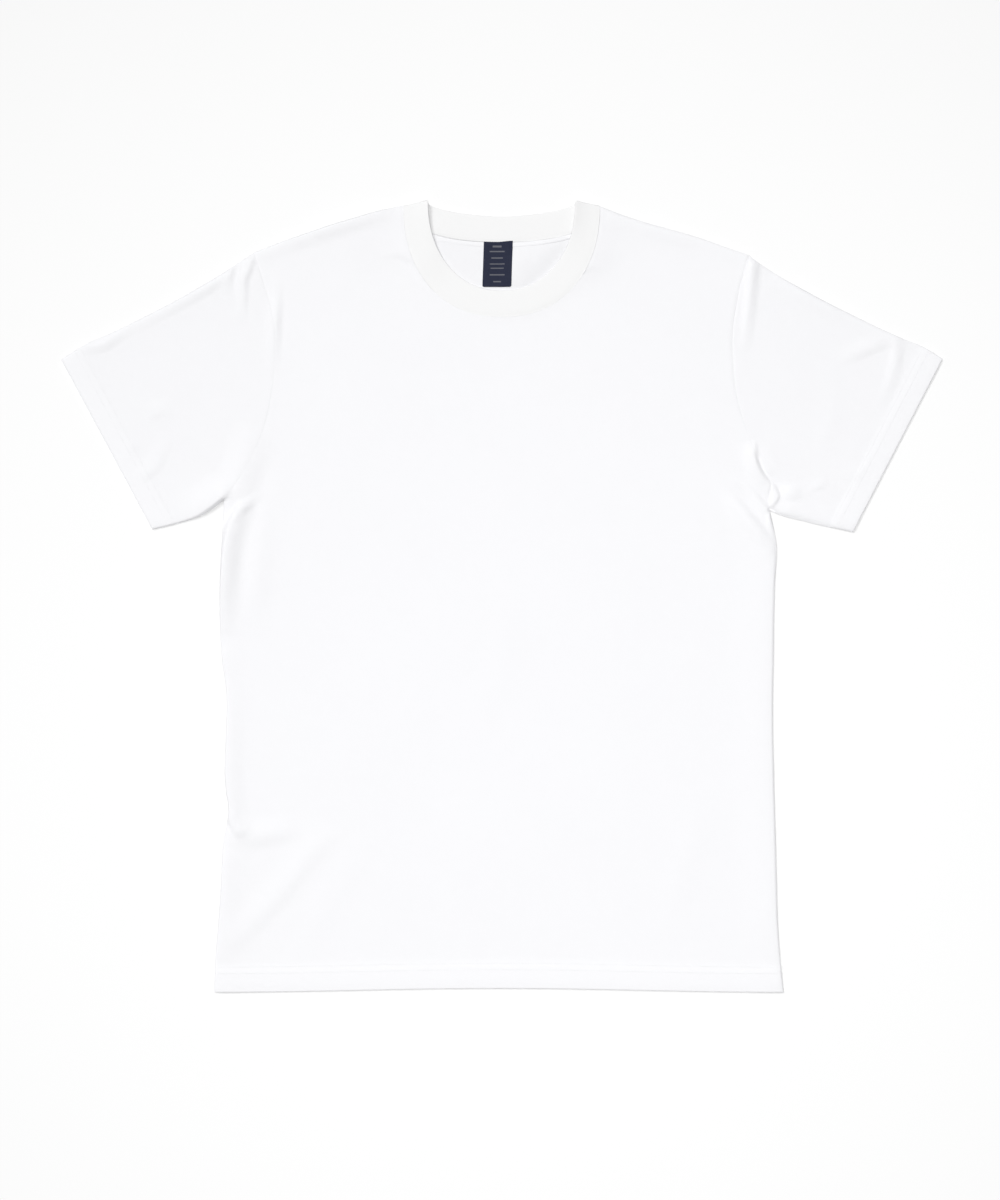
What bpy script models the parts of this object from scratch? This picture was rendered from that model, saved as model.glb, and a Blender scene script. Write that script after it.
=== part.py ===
"""Crew neck T-shirt laid flat on a surface, front side up.

The shirt is cut and sewn from a front, a back, two sleeves, a ribbed collar band, a narrow tape over the
back neck seam and a neck label. Each of them is one closed wall of cloth. The front lies on the back, each
sleeve is a flattened tube and the collar band is a ring folded over at the two neck points.

All sizes below are in millimetres and the meshes are in metres. +X runs to the viewer's right, +Y from the
hem to the collar and +Z up from the surface. The origin is the centre of the footprint, on the surface.
"""
import math
from collections import namedtuple

import bmesh
import bpy
from mathutils import Vector
from mathutils.geometry import delaunay_2d_cdt

MM = 0.001

# Cloth
JERSEY = 1.2            # wall of one layer of jersey
HEM_EXTRA = 0.6         # what the turned-in layer adds to the wall at a hem
RIB_BAND = 2.0          # wall of the doubled rib of the collar
TAPE_WALL = 1.0
LABEL_WALL = 1.0
GAP = 0.3               # between two pieces at a seam
NECK_GAP = 0.45         # the same along the neck seam, whose two sides have chords of unlike length

# Layers, as heights over the surface
BACK_TOP = JERSEY
FRONT_SEAM_Z = BACK_TOP + GAP
SLEEVE_SEAM_Z = BACK_TOP + GAP / 2
LOFT = 0.5              # air between the two layers, away from the folded edges
EDGE_LOFT = 1.6         # how far the cloth stands up beside a folded edge
EDGE_LOFT_AT = 8.0      # distance of that crest from the edge
EDGE_ROUND = 1.8        # width of the quarter round at a folded edge

# Hems
HEM_DEPTH = 23.5
CUFF_DEPTH = 22.0
HEM_STEP = 1.2          # half the width of the slope where a hem begins

# Spacing of the points of the meshes
FOLD_EDGE_STEP = 19.0
SEAM_STEP = 13.0
HEM_STEP_LENGTH = 21.0
NECK_STEP = 7.5
END_STEPS = (2.0, 5.0, 10.0)
FIRST_RING = 1.0
RINGS = (3.0, 8.0, 18.0, 33.0)
FIELD_STEP = 34.0
FOLD_STEP = 9.0
FLANK_SHARES = (-1.0, -0.62, -0.22, 0.22, 0.62, 1.0)    # lines along a fold, as shares of its reach
CHAIN_MARGIN = 1.8      # how close to the outline a crest, a flank or a hem step may come

# Neck, about its own centre line
NECK_X = 0.0
NECK_POINT_Y = 365.6    # where the band turns over, on its seam side
RIM_POINT_Y = 369.05    # the same on its rim side
FRONT_NECK_HALF = 92.3
FRONT_NECK_DROP = 102.0
FRONT_NECK_POWER = 2.2
FRONT_RIM_HALF = 69.1
FRONT_RIM_DROP = 82.0
FRONT_RIM_POWER = 2.1
BACK_NECK_DROP = 33.0
BACK_NECK_POWER = 2.2
BACK_RIM_DROP = 12.5
BACK_RIM_POWER = 1.6
BACK_RIM_CROWDING = 1.55   # above 1 the rim's stations crowd towards the neck points
COLLAR_FRONT_LOW = 2.1     # underside of the band at the bottom of the front neck
COLLAR_FRONT_HIGH = 2.9    # underside of the band where it lies on the tape
COLLAR_RISE_Y = (282.0, 308.0)
COLLAR_CROWN = 0.25        # how much fuller the middle of the band is than its edges
RIB_PITCH = 2.8
RIB_HEIGHT = 0.4
SEAM_RIBBING = 0.4         # share of the ribs' height that is left at the neck seam
PLAIN_STRIDE = 4           # rib stations to one station of the plain face
TURN_STATIONS = 3

# Tape and label
TAPE_WIDTH = 4.6
TAPE_SPAN = (0.13, 0.87)   # share of the back neck seam that the tape covers
TAPE_STEPS = 30
LABEL_WIDTH = 26.5
LABEL_X = -3.4
LABEL_LEAN = 0.9           # how far the lower end stands to the left of the upper one
LabelSection = namedtuple("LabelSection", "y underside")
LABEL_SECTIONS = (
    LabelSection(333.2, 2.8), LabelSection(328.4, 2.8), LabelSection(324.0, 2.0),
    LabelSection(318.0, 1.6), LabelSection(304.0, 1.6), LabelSection(296.0, 1.9),
    LabelSection(290.6, 2.5),
)

# Body, from the hem to the underarms
Section = namedtuple("Section", "y left right")
SIDES = (
    Section(-371.5, -270.0, 264.3), Section(-343.8, -269.3, 261.4), Section(-308.0, -266.3, 258.8),
    Section(-272.0, -263.9, 257.8), Section(-236.6, -262.1, 256.9), Section(-203.0, -256.8, 256.0),
    Section(-184.0, -258.8, 255.4), Section(-165.0, -260.3, 255.0), Section(-129.0, -259.2, 254.2),
    Section(-94.0, -258.5, 254.1), Section(-58.0, -263.0, 254.8), Section(-22.0, -264.9, 255.2),
    Section(13.4, -264.9, 256.0), Section(48.0, -263.2, 257.6), Section(82.0, -261.5, 254.4),
)
HEM_RISE = 3.6          # how much higher the middle of the hem lies than its ends

# Lines of the body, from the underarm upwards and from the shoulder inwards
Spot = namedtuple("Spot", "x y")
LEFT_ARMHOLE = (
    Spot(-261.5, 90.0), Spot(-243.0, 116.8), Spot(-226.2, 151.6), Spot(-216.8, 189.2),
    Spot(-213.0, 236.2), Spot(-215.8, 264.4), Spot(-224.3, 295.4), Spot(-232.8, 323.0),
)
RIGHT_ARMHOLE = (
    Spot(251.6, 80.6), Spot(250.2, 92.0), Spot(252.8, 106.0), Spot(246.0, 117.0), Spot(235.3, 142.0),
    Spot(221.2, 184.5), Spot(217.2, 222.0), Spot(216.8, 248.5), Spot(223.0, 288.0), Spot(232.5, 320.4),
)
LEFT_SHOULDER = (
    Spot(-232.8, 323.0), Spot(-208.4, 332.6), Spot(-185.8, 340.4), Spot(-163.2, 348.3),
    Spot(-140.7, 354.9), Spot(-118.1, 361.6), Spot(-93.4, 367.2),
)
RIGHT_SHOULDER = (
    Spot(232.5, 320.4), Spot(205.3, 329.6), Spot(182.7, 337.6), Spot(160.1, 344.1),
    Spot(137.6, 350.4), Spot(115.0, 357.6), Spot(93.4, 365.4),
)

# Lines of the sleeves, from the body outwards
LEFT_SLEEVE_TOP = (
    Spot(-232.8, 323.0), Spot(-253.5, 309.0), Spot(-276.0, 295.2), Spot(-298.6, 282.2),
    Spot(-321.2, 270.0), Spot(-343.7, 258.6), Spot(-366.3, 247.6), Spot(-390.0, 237.2),
    Spot(-414.0, 222.6),
)
LEFT_SLEEVE_UNDER = (
    Spot(-261.5, 90.0), Spot(-268.5, 84.6), Spot(-279.8, 77.0), Spot(-291.1, 72.4),
    Spot(-308.0, 67.6), Spot(-328.2, 62.8),
)
RIGHT_SLEEVE_TOP = (
    Spot(232.5, 320.4), Spot(239.6, 314.4), Spot(261.6, 300.0), Spot(284.2, 287.6),
    Spot(306.8, 275.4), Spot(329.3, 264.2), Spot(351.9, 253.2), Spot(374.4, 243.0),
    Spot(397.0, 233.6), Spot(414.0, 223.0),
)
RIGHT_SLEEVE_UNDER = (
    Spot(251.6, 80.6), Spot(278.0, 73.6), Spot(304.0, 67.4), Spot(329.8, 61.9),
)

# The largest folds of the upper layer: the crest from one end to the other, how far it stands up and how
# far its flanks reach to each side
Fold = namedtuple("Fold", "x0 y0 x1 y1 height reach")
FOLDS = (
    Fold(-158.0, -220.0, -254.0, -330.0, 4.0, 13.0),    # drag across the lower left
    Fold(-243.0, -231.0, -186.0, -217.0, 1.5, 8.0),     # nick above it
    Fold(-226.0, 96.0, -242.0, -22.0, 1.6, 11.0),       # two drags below the left underarm
    Fold(-203.0, 100.0, -228.0, 32.0, 1.1, 9.0),
    Fold(-229.0, 310.0, -221.0, 248.0, 1.7, 6.0),       # left sleeve head
    Fold(-246.5, 309.0, -248.5, 258.0, 1.5, 6.5),
    Fold(-335.0, 152.0, -303.0, 104.0, 1.1, 9.0),       # slack in the left sleeve
    Fold(238.0, 300.0, 228.0, 222.0, 1.5, 6.0),         # right sleeve head
    Fold(259.0, 294.0, 248.0, 228.0, 1.2, 8.0),
    Fold(226.5, 152.0, 243.0, 98.0, 2.4, 7.0),          # right underarm, on the body
    Fold(251.0, 146.0, 271.0, 106.0, 1.8, 7.5),         # and on the sleeve
    Fold(226.0, 100.0, 249.5, 60.0, 1.4, 7.5),
    Fold(256.6, 111.0, 256.3, 82.6, 2.2, 4.5),          # pinch of cloth in the right armpit
    Fold(314.0, 219.0, 352.0, 232.0, 1.6, 7.0),         # top of the right sleeve
    Fold(366.0, 226.0, 362.0, 186.0, 1.4, 6.5),
    Fold(-106.0, 326.0, -73.0, 287.0, 1.3, 7.5),        # pull towards the collar, left
    Fold(76.0, 296.0, 103.0, 311.0, 1.1, 7.5),          # and right
)

WHITE_COTTON = (0.86, 0.87, 0.88)
NAVY_SATIN = (0.018, 0.020, 0.045)


# ---------------------------------------------------------------- lines

def smooth_line(spots):
    """A fine Catmull-Rom line through the spots, as 2D vectors about 2 mm apart."""
    points = [Vector(spot) for spot in spots]
    padded = [2 * points[0] - points[1], *points, 2 * points[-1] - points[-2]]
    line = []
    for a, b, c, d in zip(padded, padded[1:], padded[2:], padded[3:]):
        steps = max(2, round((c - b).length / 2.0))
        for k in range(steps):
            t = k / steps
            line.append(0.5 * (2 * b + (c - a) * t + (2 * a - 5 * b + 4 * c - d) * t * t
                               + (3 * b - a - 3 * c + d) * t ** 3))
    line.append(points[-1])
    return line


def lengths_along(line):
    """The running length of a line at each of its points."""
    total = [0.0]
    for start, end in zip(line, line[1:]):
        total.append(total[-1] + (end - start).length)
    return total


def points_at(line, lengths):
    """The points of a line at the given running lengths, which rise."""
    running = lengths_along(line)
    found, k = [], 0
    for length in lengths:
        while k < len(line) - 2 and running[k + 1] < length:
            k += 1
        span = running[k + 1] - running[k]
        found.append(line[k].lerp(line[k + 1], (length - running[k]) / span if span else 0.0))
    return found


def spaced(line, step, ends=()):
    """A line with points about a step apart, and closer ones near both ends at the distances in ends."""
    total = lengths_along(line)[-1]
    inner = ends[-1] if ends else 0.0
    count = max(1, round((total - 2 * inner) / step))
    middle = [inner + (total - 2 * inner) * k / count for k in range(count + 1)]
    if ends:
        near = [0.0, *ends[:-1]]
        middle = near + middle + [total - length for length in reversed(near)]
    return points_at(line, middle)


def shifted(line, distance):
    """A line moved to its left by a distance."""
    moved = []
    for k, point in enumerate(line):
        run = line[min(k + 1, len(line) - 1)] - line[max(k - 1, 0)]
        moved.append(point + Vector((-run.y, run.x)).normalized() * distance)
    return moved


def distance_to(point, line):
    """The shortest distance from a point to a line."""
    best = math.inf
    for start, end in zip(line, line[1:]):
        run = end - start
        share = min(1.0, max(0.0, (point - start).dot(run) / run.length_squared))
        best = min(best, (point - start - run * share).length)
    return best


def superellipse(half, drop, power, top):
    """The lower half of a superellipse, from its left end at the height top to its right end."""
    steps = 240
    line = []
    for k in range(steps + 1):
        angle = math.pi * k / steps
        x = -math.copysign(abs(math.cos(angle)) ** (2 / power), math.cos(angle)) * half
        y = top - math.sin(angle) ** (2 / power) * drop if 0 < k < steps else top
        line.append(Vector((NECK_X + x, y)))
    return line


def smoothstep(low, high, value):
    """0 below low, 1 above high and an S curve between."""
    t = min(1.0, max(0.0, (value - low) / (high - low)))
    return t * t * (3 - 2 * t)


# ---------------------------------------------------------------- outlines

Edge = namedtuple("Edge", "points folded")
Outline = namedtuple("Outline", "points folded")    # folded[k] is true where points k to k + 1 are a fold


def join_edges(edges):
    """One closed outline from edges that follow each other, each ending where the next one starts."""
    points, folded = [], []
    for edge in edges:
        points += edge.points[:-1]
        folded += [edge.folded] * (len(edge.points) - 1)
    return Outline(points, folded)


def hem_line():
    """The lower edge of the body, from right to left, a little higher in its middle."""
    left, right = SIDES[0].left, SIDES[0].right
    line = []
    steps = 60
    for k in range(steps + 1):
        share = k / steps
        line.append(Vector((right + (left - right) * share,
                            SIDES[0].y + HEM_RISE * math.sin(math.pi * share) ** 2)))
    return line


def neck_seam(drop, power):
    """The body's side of the neck seam, from the left neck point to the right one."""
    seam = superellipse(FRONT_NECK_HALF, drop, power, NECK_POINT_Y)
    line = shifted(seam, -NECK_GAP)
    line[0] = Vector((LEFT_SHOULDER[-1].x, LEFT_SHOULDER[-1].y))
    line[-1] = Vector((RIGHT_SHOULDER[-1].x, RIGHT_SHOULDER[-1].y))
    return line


LEFT_SIDE = smooth_line([Spot(row.left, row.y) for row in SIDES] + [LEFT_ARMHOLE[0]])
RIGHT_SIDE = smooth_line([Spot(row.right, row.y) for row in SIDES[:-1]] + [RIGHT_ARMHOLE[0]])
ARMHOLES = {-1: smooth_line(LEFT_ARMHOLE), 1: smooth_line(RIGHT_ARMHOLE)}
SHOULDERS = {-1: smooth_line(LEFT_SHOULDER), 1: smooth_line(RIGHT_SHOULDER)}
SLEEVE_TOPS = {-1: smooth_line(LEFT_SLEEVE_TOP), 1: smooth_line(RIGHT_SLEEVE_TOP)}
SLEEVE_UNDERS = {-1: smooth_line(LEFT_SLEEVE_UNDER), 1: smooth_line(RIGHT_SLEEVE_UNDER)}
FOLDED_EDGES = [LEFT_SIDE, RIGHT_SIDE, *SHOULDERS.values(), *SLEEVE_TOPS.values(),
                *SLEEVE_UNDERS.values()]
HEM = hem_line()
CUFFS = {side: [SLEEVE_TOPS[side][-1], SLEEVE_UNDERS[side][-1]] for side in (-1, 1)}


def body_outline(drop, power):
    """The outline of the front or the back, clockwise from the left end of the hem."""
    return join_edges([
        Edge(spaced(LEFT_SIDE, FOLD_EDGE_STEP), True),
        Edge(spaced(ARMHOLES[-1], SEAM_STEP, END_STEPS), False),
        Edge(spaced(SHOULDERS[-1], FOLD_EDGE_STEP), True),
        Edge(spaced(neck_seam(drop, power), NECK_STEP, END_STEPS), False),
        Edge(spaced(SHOULDERS[1], FOLD_EDGE_STEP)[::-1], True),
        Edge(spaced(ARMHOLES[1], SEAM_STEP, END_STEPS)[::-1], False),
        Edge(spaced(RIGHT_SIDE, FOLD_EDGE_STEP)[::-1], True),
        Edge(spaced(HEM, HEM_STEP_LENGTH, END_STEPS), False),
    ])


def sleeve_outline(side):
    """The outline of a flattened sleeve, clockwise as the body's is, with its seam just off the armhole."""
    seam = shifted(spaced(ARMHOLES[side], SEAM_STEP, END_STEPS), -side * GAP)
    top = spaced(SLEEVE_TOPS[side], FOLD_EDGE_STEP)
    under = spaced(SLEEVE_UNDERS[side], FOLD_EDGE_STEP)
    top[0], under[0] = seam[-1], seam[0]
    cuff = spaced([top[-1], under[-1]], SEAM_STEP, END_STEPS)
    if side > 0:
        return join_edges([Edge(seam, False), Edge(top, True), Edge(cuff, False), Edge(under[::-1], True)])
    return join_edges([Edge(under, True), Edge(cuff[::-1], False), Edge(top[::-1], True),
                       Edge(seam[::-1], False)])


def drawn_in(outline, distance):
    """The outline with its folded edges moved in. Their ends slide along the open edge that meets them."""
    count = len(outline.points)
    moved = []
    for k, point in enumerate(outline.points):
        before, after = outline.points[k - 1], outline.points[(k + 1) % count]
        folded_before, folded_after = outline.folded[k - 1], outline.folded[k]
        if folded_before and folded_after:
            run = after - before
            point = point + Vector((run.y, -run.x)).normalized() * distance
        elif folded_before:
            point = point + (after - point).normalized() * distance
        elif folded_after:
            point = point + (before - point).normalized() * distance
        moved.append(point)
    return moved


# ---------------------------------------------------------------- heights of the layers

def edge_distance(point):
    """How far a point lies from the nearest folded edge of the shirt."""
    return min(distance_to(point, line) for line in FOLDED_EDGES)


def hem_share(point):
    """1 in the doubled cloth of the hem and the cuffs, 0 above it and a short slope between."""
    at_hem = smoothstep(HEM_DEPTH + HEM_STEP, HEM_DEPTH - HEM_STEP, distance_to(point, HEM))
    at_cuff = max(smoothstep(CUFF_DEPTH + HEM_STEP, CUFF_DEPTH - HEM_STEP, distance_to(point, cuff))
                  for cuff in CUFFS.values())
    return max(at_hem, at_cuff)


def swell(share):
    """The fullness of a fold along its crest: none at its two ends."""
    return max(0.0, math.sin(math.pi * share)) ** 0.8


def fold_height(point):
    """How far the folds lift the upper layer at a point."""
    height = 0.0
    for fold in FOLDS:
        start, end = Vector((fold.x0, fold.y0)), Vector((fold.x1, fold.y1))
        run = end - start
        share = (point - start).dot(run) / run.length_squared
        if 0.0 < share < 1.0:
            away = (point - start - run * share).length / (fold.reach * swell(share))
            if away < 1.0:
                height += fold.height * swell(share) * math.cos(away * math.pi / 2) ** 2
    return height


def edge_rise(away):
    """How far the upper layer stands over the lower one at a distance from the folded edge."""
    crest = away / EDGE_LOFT_AT
    return LOFT * (1 - math.exp(-away / 2.0)) + EDGE_LOFT * crest * math.exp(1 - crest)


def lower_top(point):
    """The upper face of the lower layer."""
    return BACK_TOP + HEM_EXTRA * hem_share(point)


def upper_underside(point):
    """The underside of the upper layer."""
    return lower_top(point) + GAP + edge_rise(edge_distance(point)) + fold_height(point)


def upper_top(point):
    """The outer face of the upper layer, with its quarter round at a folded edge."""
    inward = min(1.0, edge_distance(point) / EDGE_ROUND)
    round_share = math.sqrt(1 - (1 - inward) ** 2)
    return upper_underside(point) + (JERSEY + HEM_EXTRA * hem_share(point)) * round_share


def lower_underside(point):
    """The outer face of the lower layer: flat on the surface, rounded up at a folded edge."""
    short = max(0.0, 1.0 - edge_distance(point) / BACK_TOP)
    return BACK_TOP * (1 - math.sqrt(1 - short * short))


# ---------------------------------------------------------------- meshes

def inside(point, outline_points):
    """True where a point lies within a closed outline."""
    crossings = False
    previous = outline_points[-1]
    for current in outline_points:
        if (current.y > point.y) != (previous.y > point.y):
            cut = current.x + (point.y - current.y) / (previous.y - current.y) * (previous.x - current.x)
            crossings ^= point.x < cut
        previous = current
    return crossings


def keep_clear(candidates, kept, clearance):
    """The candidates that are at least a clearance away from the points already kept and each other."""
    chosen = []
    for point in candidates:
        if all((point - other).length > clearance for other in kept) and \
                all((point - other).length > clearance for other in chosen):
            chosen.append(point)
    return chosen


def ring_points(outline, distance):
    """Points at a distance inside the folded edges of an outline, away from their ends."""
    moved = drawn_in(outline, distance)
    return [point for k, point in enumerate(moved) if outline.folded[k - 1] and outline.folded[k]]


def hem_chains():
    """Lines on both sides of the step where the doubled cloth of a hem or a cuff begins."""
    chains = []
    for line, depth, turn in ((HEM, HEM_DEPTH, -1), (CUFFS[1], CUFF_DEPTH, -1), (CUFFS[-1], CUFF_DEPTH, 1)):
        stations = spaced(line, HEM_STEP_LENGTH)
        chains += [shifted(stations, turn * (depth - HEM_STEP)), shifted(stations, turn * (depth + HEM_STEP))]
    return chains


def fold_chains():
    """The crest of each fold and the lines down its two flanks, which meet the crest at its ends."""
    chains = []
    for fold in FOLDS:
        crest = spaced([Vector((fold.x0, fold.y0)), Vector((fold.x1, fold.y1))], FOLD_STEP)
        count = len(crest) - 1
        across = Vector((crest[0].y - crest[-1].y, crest[-1].x - crest[0].x)).normalized() * fold.reach
        for share in FLANK_SHARES:
            chains.append([point + across * share * swell(k / count) for k, point in enumerate(crest)])
    return chains


def field_points(outline):
    """A staggered field of points over the bounds of an outline."""
    low_x, high_x = min(p.x for p in outline.points), max(p.x for p in outline.points)
    low_y, high_y = min(p.y for p in outline.points), max(p.y for p in outline.points)
    row_step = FIELD_STEP * math.sqrt(3) / 2
    points = []
    for row in range(int((high_y - low_y) / row_step) + 1):
        shift = FIELD_STEP / 2 if row % 2 else 0.0
        for column in range(int((high_x - low_x) / FIELD_STEP) + 1):
            points.append(Vector((low_x + shift + column * FIELD_STEP, low_y + row * row_step)))
    return points


def inner_lines(outline, folds):
    """The points of a layer inside its outline, and the pairs of them that the mesh must join.

    The hem steps and the folds come first, then the rings beside the folded edges and the plain field.
    """
    closed = outline.points + outline.points[:1]

    def well_inside(point, margin):
        return inside(point, outline.points) and distance_to(point, closed) > margin

    points, links = [], []
    for chain in hem_chains() + (fold_chains() if folds else []):
        previous = None
        for point in chain:
            if not well_inside(point, CHAIN_MARGIN):
                previous = None
                continue
            twins = [k for k, other in enumerate(points) if (point - other).length < 0.5]
            current = twins[0] if twins else len(points)
            if not twins:
                points.append(point)
            if previous is not None and previous != current:
                links.append((previous, current))
            previous = current
    for distance in RINGS:
        ring = [p for p in ring_points(outline, distance) if well_inside(p, 0.8 * distance)]
        points += keep_clear(ring, points, 0.35 * distance + 1.0)
    field = [p for p in field_points(outline) if well_inside(p, 0.4 * FIELD_STEP)]
    points += keep_clear(field, points, 0.5 * FIELD_STEP)
    return points, links


def surface(bm, edge_points, edge_heights, points, links, height_at):
    """Triangles over an outline with the heights given at its points. Returns the outline's vertices."""
    count = len(edge_points)
    border = [(k, (k + 1) % count) for k in range(count)]
    inner = [(count + a, count + b) for a, b in links]
    coords, _, faces, origins, _, _ = delaunay_2d_cdt(edge_points + points, border + inner, [], 1, 1e-4)
    verts, found = [], {}
    for coord, origin in zip(coords, origins):
        on_edge = [k for k in origin if k < count]
        height = edge_heights[on_edge[0]] if on_edge else height_at(coord)
        verts.append(bm.verts.new((coord.x * MM, coord.y * MM, height * MM)))
        for k in on_edge:
            found[k] = verts[-1]
    for face in faces:
        bm.faces.new([verts[k] for k in face])
    return [found[k] for k in range(count)]


def bridge(bm, outer, inner, segments):
    """Closes the wall between the outer and the inner outline over the given segments."""
    count = len(outer)
    for k in segments:
        after = (k + 1) % count
        bm.faces.new((outer[k], outer[after], inner[after]))
        bm.faces.new((outer[k], inner[after], inner[k]))


def edge_heights(outline, points, seam_z, height_at):
    """The heights of an outline's points: the seam's own height where two layers meet at a fold."""
    return [seam_z if outline.folded[k] or outline.folded[k - 1] else height_at(point)
            for k, point in enumerate(points)]


def layer(bm, outline, upper, seam_z):
    """The outer and inner faces of one layer of cloth. Returns their outlines' vertices."""
    outer_height, inner_height = (upper_top, upper_underside) if upper else (lower_underside, lower_top)
    points, links = inner_lines(outline, folds=upper)
    first = keep_clear(ring_points(outline, FIRST_RING), outline.points, 0.8 * FIRST_RING)
    drawn = drawn_in(outline, JERSEY)
    outer = surface(bm, outline.points, edge_heights(outline, outline.points, seam_z, outer_height),
                    points + first, links, outer_height)
    inner = surface(bm, drawn, edge_heights(outline, drawn, seam_z, inner_height),
                    points, links, inner_height)
    return outer, inner


def panel_mesh(bm, outline, upper, seam_z):
    """One layer of cloth closed all round its edge."""
    outer, inner = layer(bm, outline, upper, seam_z)
    bridge(bm, outer, inner, range(len(outer)))


def tube_mesh(bm, outline, seam_z):
    """Two layers of cloth that join at the folded edges and are open at the others."""
    open_segments = [k for k, folded in enumerate(outline.folded) if not folded]
    for upper in (True, False):
        outer, inner = layer(bm, outline, upper, seam_z)
        bridge(bm, outer, inner, open_segments)
    bmesh.ops.remove_doubles(bm, verts=bm.verts, dist=1e-3 * MM)


def even_stations(seam, rim, count, crowding=1.0):
    """Pairs of seam and rim points at even shares of both lines. Crowding draws the rim's to its ends."""
    seam_length, rim_length = lengths_along(seam)[-1], lengths_along(rim)[-1]
    shares = [k / count for k in range(count + 1)]
    crowded = [0.5 * (2 * s) ** crowding if s < 0.5 else 1 - 0.5 * (2 - 2 * s) ** crowding for s in shares]
    seam_points = points_at(seam, [s * seam_length for s in shares])
    rim_points = points_at(rim, [s * rim_length for s in crowded])
    return list(zip(seam_points, rim_points))


Station = namedtuple("Station", "seam rim middle turn rib")   # middle is the band's height, turn its tilt


def collar_underside(point):
    """The underside of the front of the band, which climbs where it lies on the tape."""
    rise = smoothstep(*COLLAR_RISE_Y, point.y)
    return COLLAR_FRONT_LOW + (COLLAR_FRONT_HIGH - COLLAR_FRONT_LOW) * rise


def collar_stations():
    """The stations round the band: the front from left to right, a turn, the back and another turn."""
    front_seam = superellipse(FRONT_NECK_HALF, FRONT_NECK_DROP, FRONT_NECK_POWER, NECK_POINT_Y)
    front_rim = superellipse(FRONT_RIM_HALF, FRONT_RIM_DROP, FRONT_RIM_POWER, RIM_POINT_Y)
    back_seam = superellipse(FRONT_NECK_HALF, BACK_NECK_DROP, BACK_NECK_POWER, NECK_POINT_Y)[::-1]
    back_rim = superellipse(FRONT_RIM_HALF, BACK_RIM_DROP, BACK_RIM_POWER, RIM_POINT_Y)[::-1]
    stations = []
    for seam, rim, crowding, turn in ((front_seam, front_rim, 1.0, 0.0),
                                      (back_seam, back_rim, BACK_RIM_CROWDING, math.pi)):
        middle_length = (lengths_along(seam)[-1] + lengths_along(rim)[-1]) / 2
        count = PLAIN_STRIDE * round(2 * middle_length / RIB_PITCH / PLAIN_STRIDE)
        for k, (seam_point, rim_point) in enumerate(even_stations(seam, rim, count, crowding)):
            underside = collar_underside(seam_point) if turn == 0.0 else 0.0
            plain = k % PLAIN_STRIDE == 0
            stations.append(Station(seam_point, rim_point, underside + RIB_BAND / 2, turn, (k % 2, plain)))
        turned = turn_stations(stations[-1], turn)
        stations += turned
    return stations


def turn_stations(start, turn):
    """The stations where the band turns over at a neck point, from the height of the start."""
    front_middle = COLLAR_FRONT_HIGH + RIB_BAND / 2
    back_middle = RIB_BAND / 2
    radius = (front_middle - back_middle) / 2
    stations = []
    for k in range(1, TURN_STATIONS + 1):
        angle = math.pi * k / (TURN_STATIONS + 1) + turn
        lift = Vector((0.0, radius * abs(math.sin(angle))))
        middle = back_middle + radius + radius * math.cos(angle)
        stations.append(Station(start.seam + lift, start.rim + lift, middle, angle, (0, True)))
    return stations


def collar_loop(bm, stations, share, outer):
    """One line round the band at a share of its width, on its outer or inner face, as (place, vertex)."""
    loop = []
    for place, station in enumerate(stations):
        facing_up = math.cos(station.turn) > 0.5 if outer else math.cos(station.turn) < -0.5
        raised, plain = station.rib
        if not plain and not facing_up:
            continue
        half = RIB_BAND / 2
        if facing_up:
            ribbing = RIB_HEIGHT * min(1.0, SEAM_RIBBING + 2 * share)
            half += COLLAR_CROWN * math.sin(math.pi * share) + ribbing * (raised - 0.5)
        side = 1 if outer else -1
        lean = station.turn
        spot = station.seam.lerp(station.rim, share)
        offset_y, offset_z = side * half * math.sin(lean) * turn_sign(lean), side * half * math.cos(lean)
        vert = bm.verts.new((spot.x * MM, (spot.y + offset_y) * MM, (station.middle + offset_z) * MM))
        loop.append((place, vert))
    return loop


def turn_sign(lean):
    """The outer face of the turned stretch always looks away from the neck, towards +Y."""
    return 1.0 if math.sin(lean) >= 0 else -1.0


def zip_loops(bm, first, second):
    """Triangles between two closed loops of (place, vertex) whose places run over the same range."""
    period = max(first[-1][0], second[-1][0]) + 1
    a = first + [(first[0][0] + period, first[0][1])]
    b = second + [(second[0][0] + period, second[0][1])]
    i = j = 0
    while i < len(a) - 1 or j < len(b) - 1:
        step_a = j == len(b) - 1 or (i < len(a) - 1 and a[i + 1][0] <= b[j + 1][0])
        if step_a:
            bm.faces.new((a[i][1], a[i + 1][1], b[j][1]))
            i += 1
        else:
            bm.faces.new((a[i][1], b[j + 1][1], b[j][1]))
            j += 1


def collar_mesh(bm):
    """The band: five lines across, ribbed on the face that shows and plain on the other."""
    stations = collar_stations()
    section = ((0.0, True), (0.5, True), (1.0, True), (1.0, False), (0.5, False), (0.0, False))
    loops = [collar_loop(bm, stations, share, outer) for share, outer in section]
    for first, second in zip(loops, loops[1:] + loops[:1]):
        zip_loops(bm, first, second)


def tape_mesh(bm):
    """A narrow strip on the back, along its neck seam."""
    seam = shifted(superellipse(FRONT_NECK_HALF, BACK_NECK_DROP, BACK_NECK_POWER, NECK_POINT_Y), -NECK_GAP)
    total = lengths_along(seam)[-1]
    upper_edge = points_at(seam, [total * (TAPE_SPAN[0] + (TAPE_SPAN[1] - TAPE_SPAN[0]) * k / TAPE_STEPS)
                                  for k in range(TAPE_STEPS + 1)])
    lower_edge = shifted(upper_edge, -TAPE_WIDTH)
    low = BACK_TOP + GAP
    sections = [[(a, low), (b, low), (b, low + TAPE_WALL), (a, low + TAPE_WALL)]
                for a, b in zip(upper_edge, lower_edge)]
    strip_mesh(bm, sections)


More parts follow.
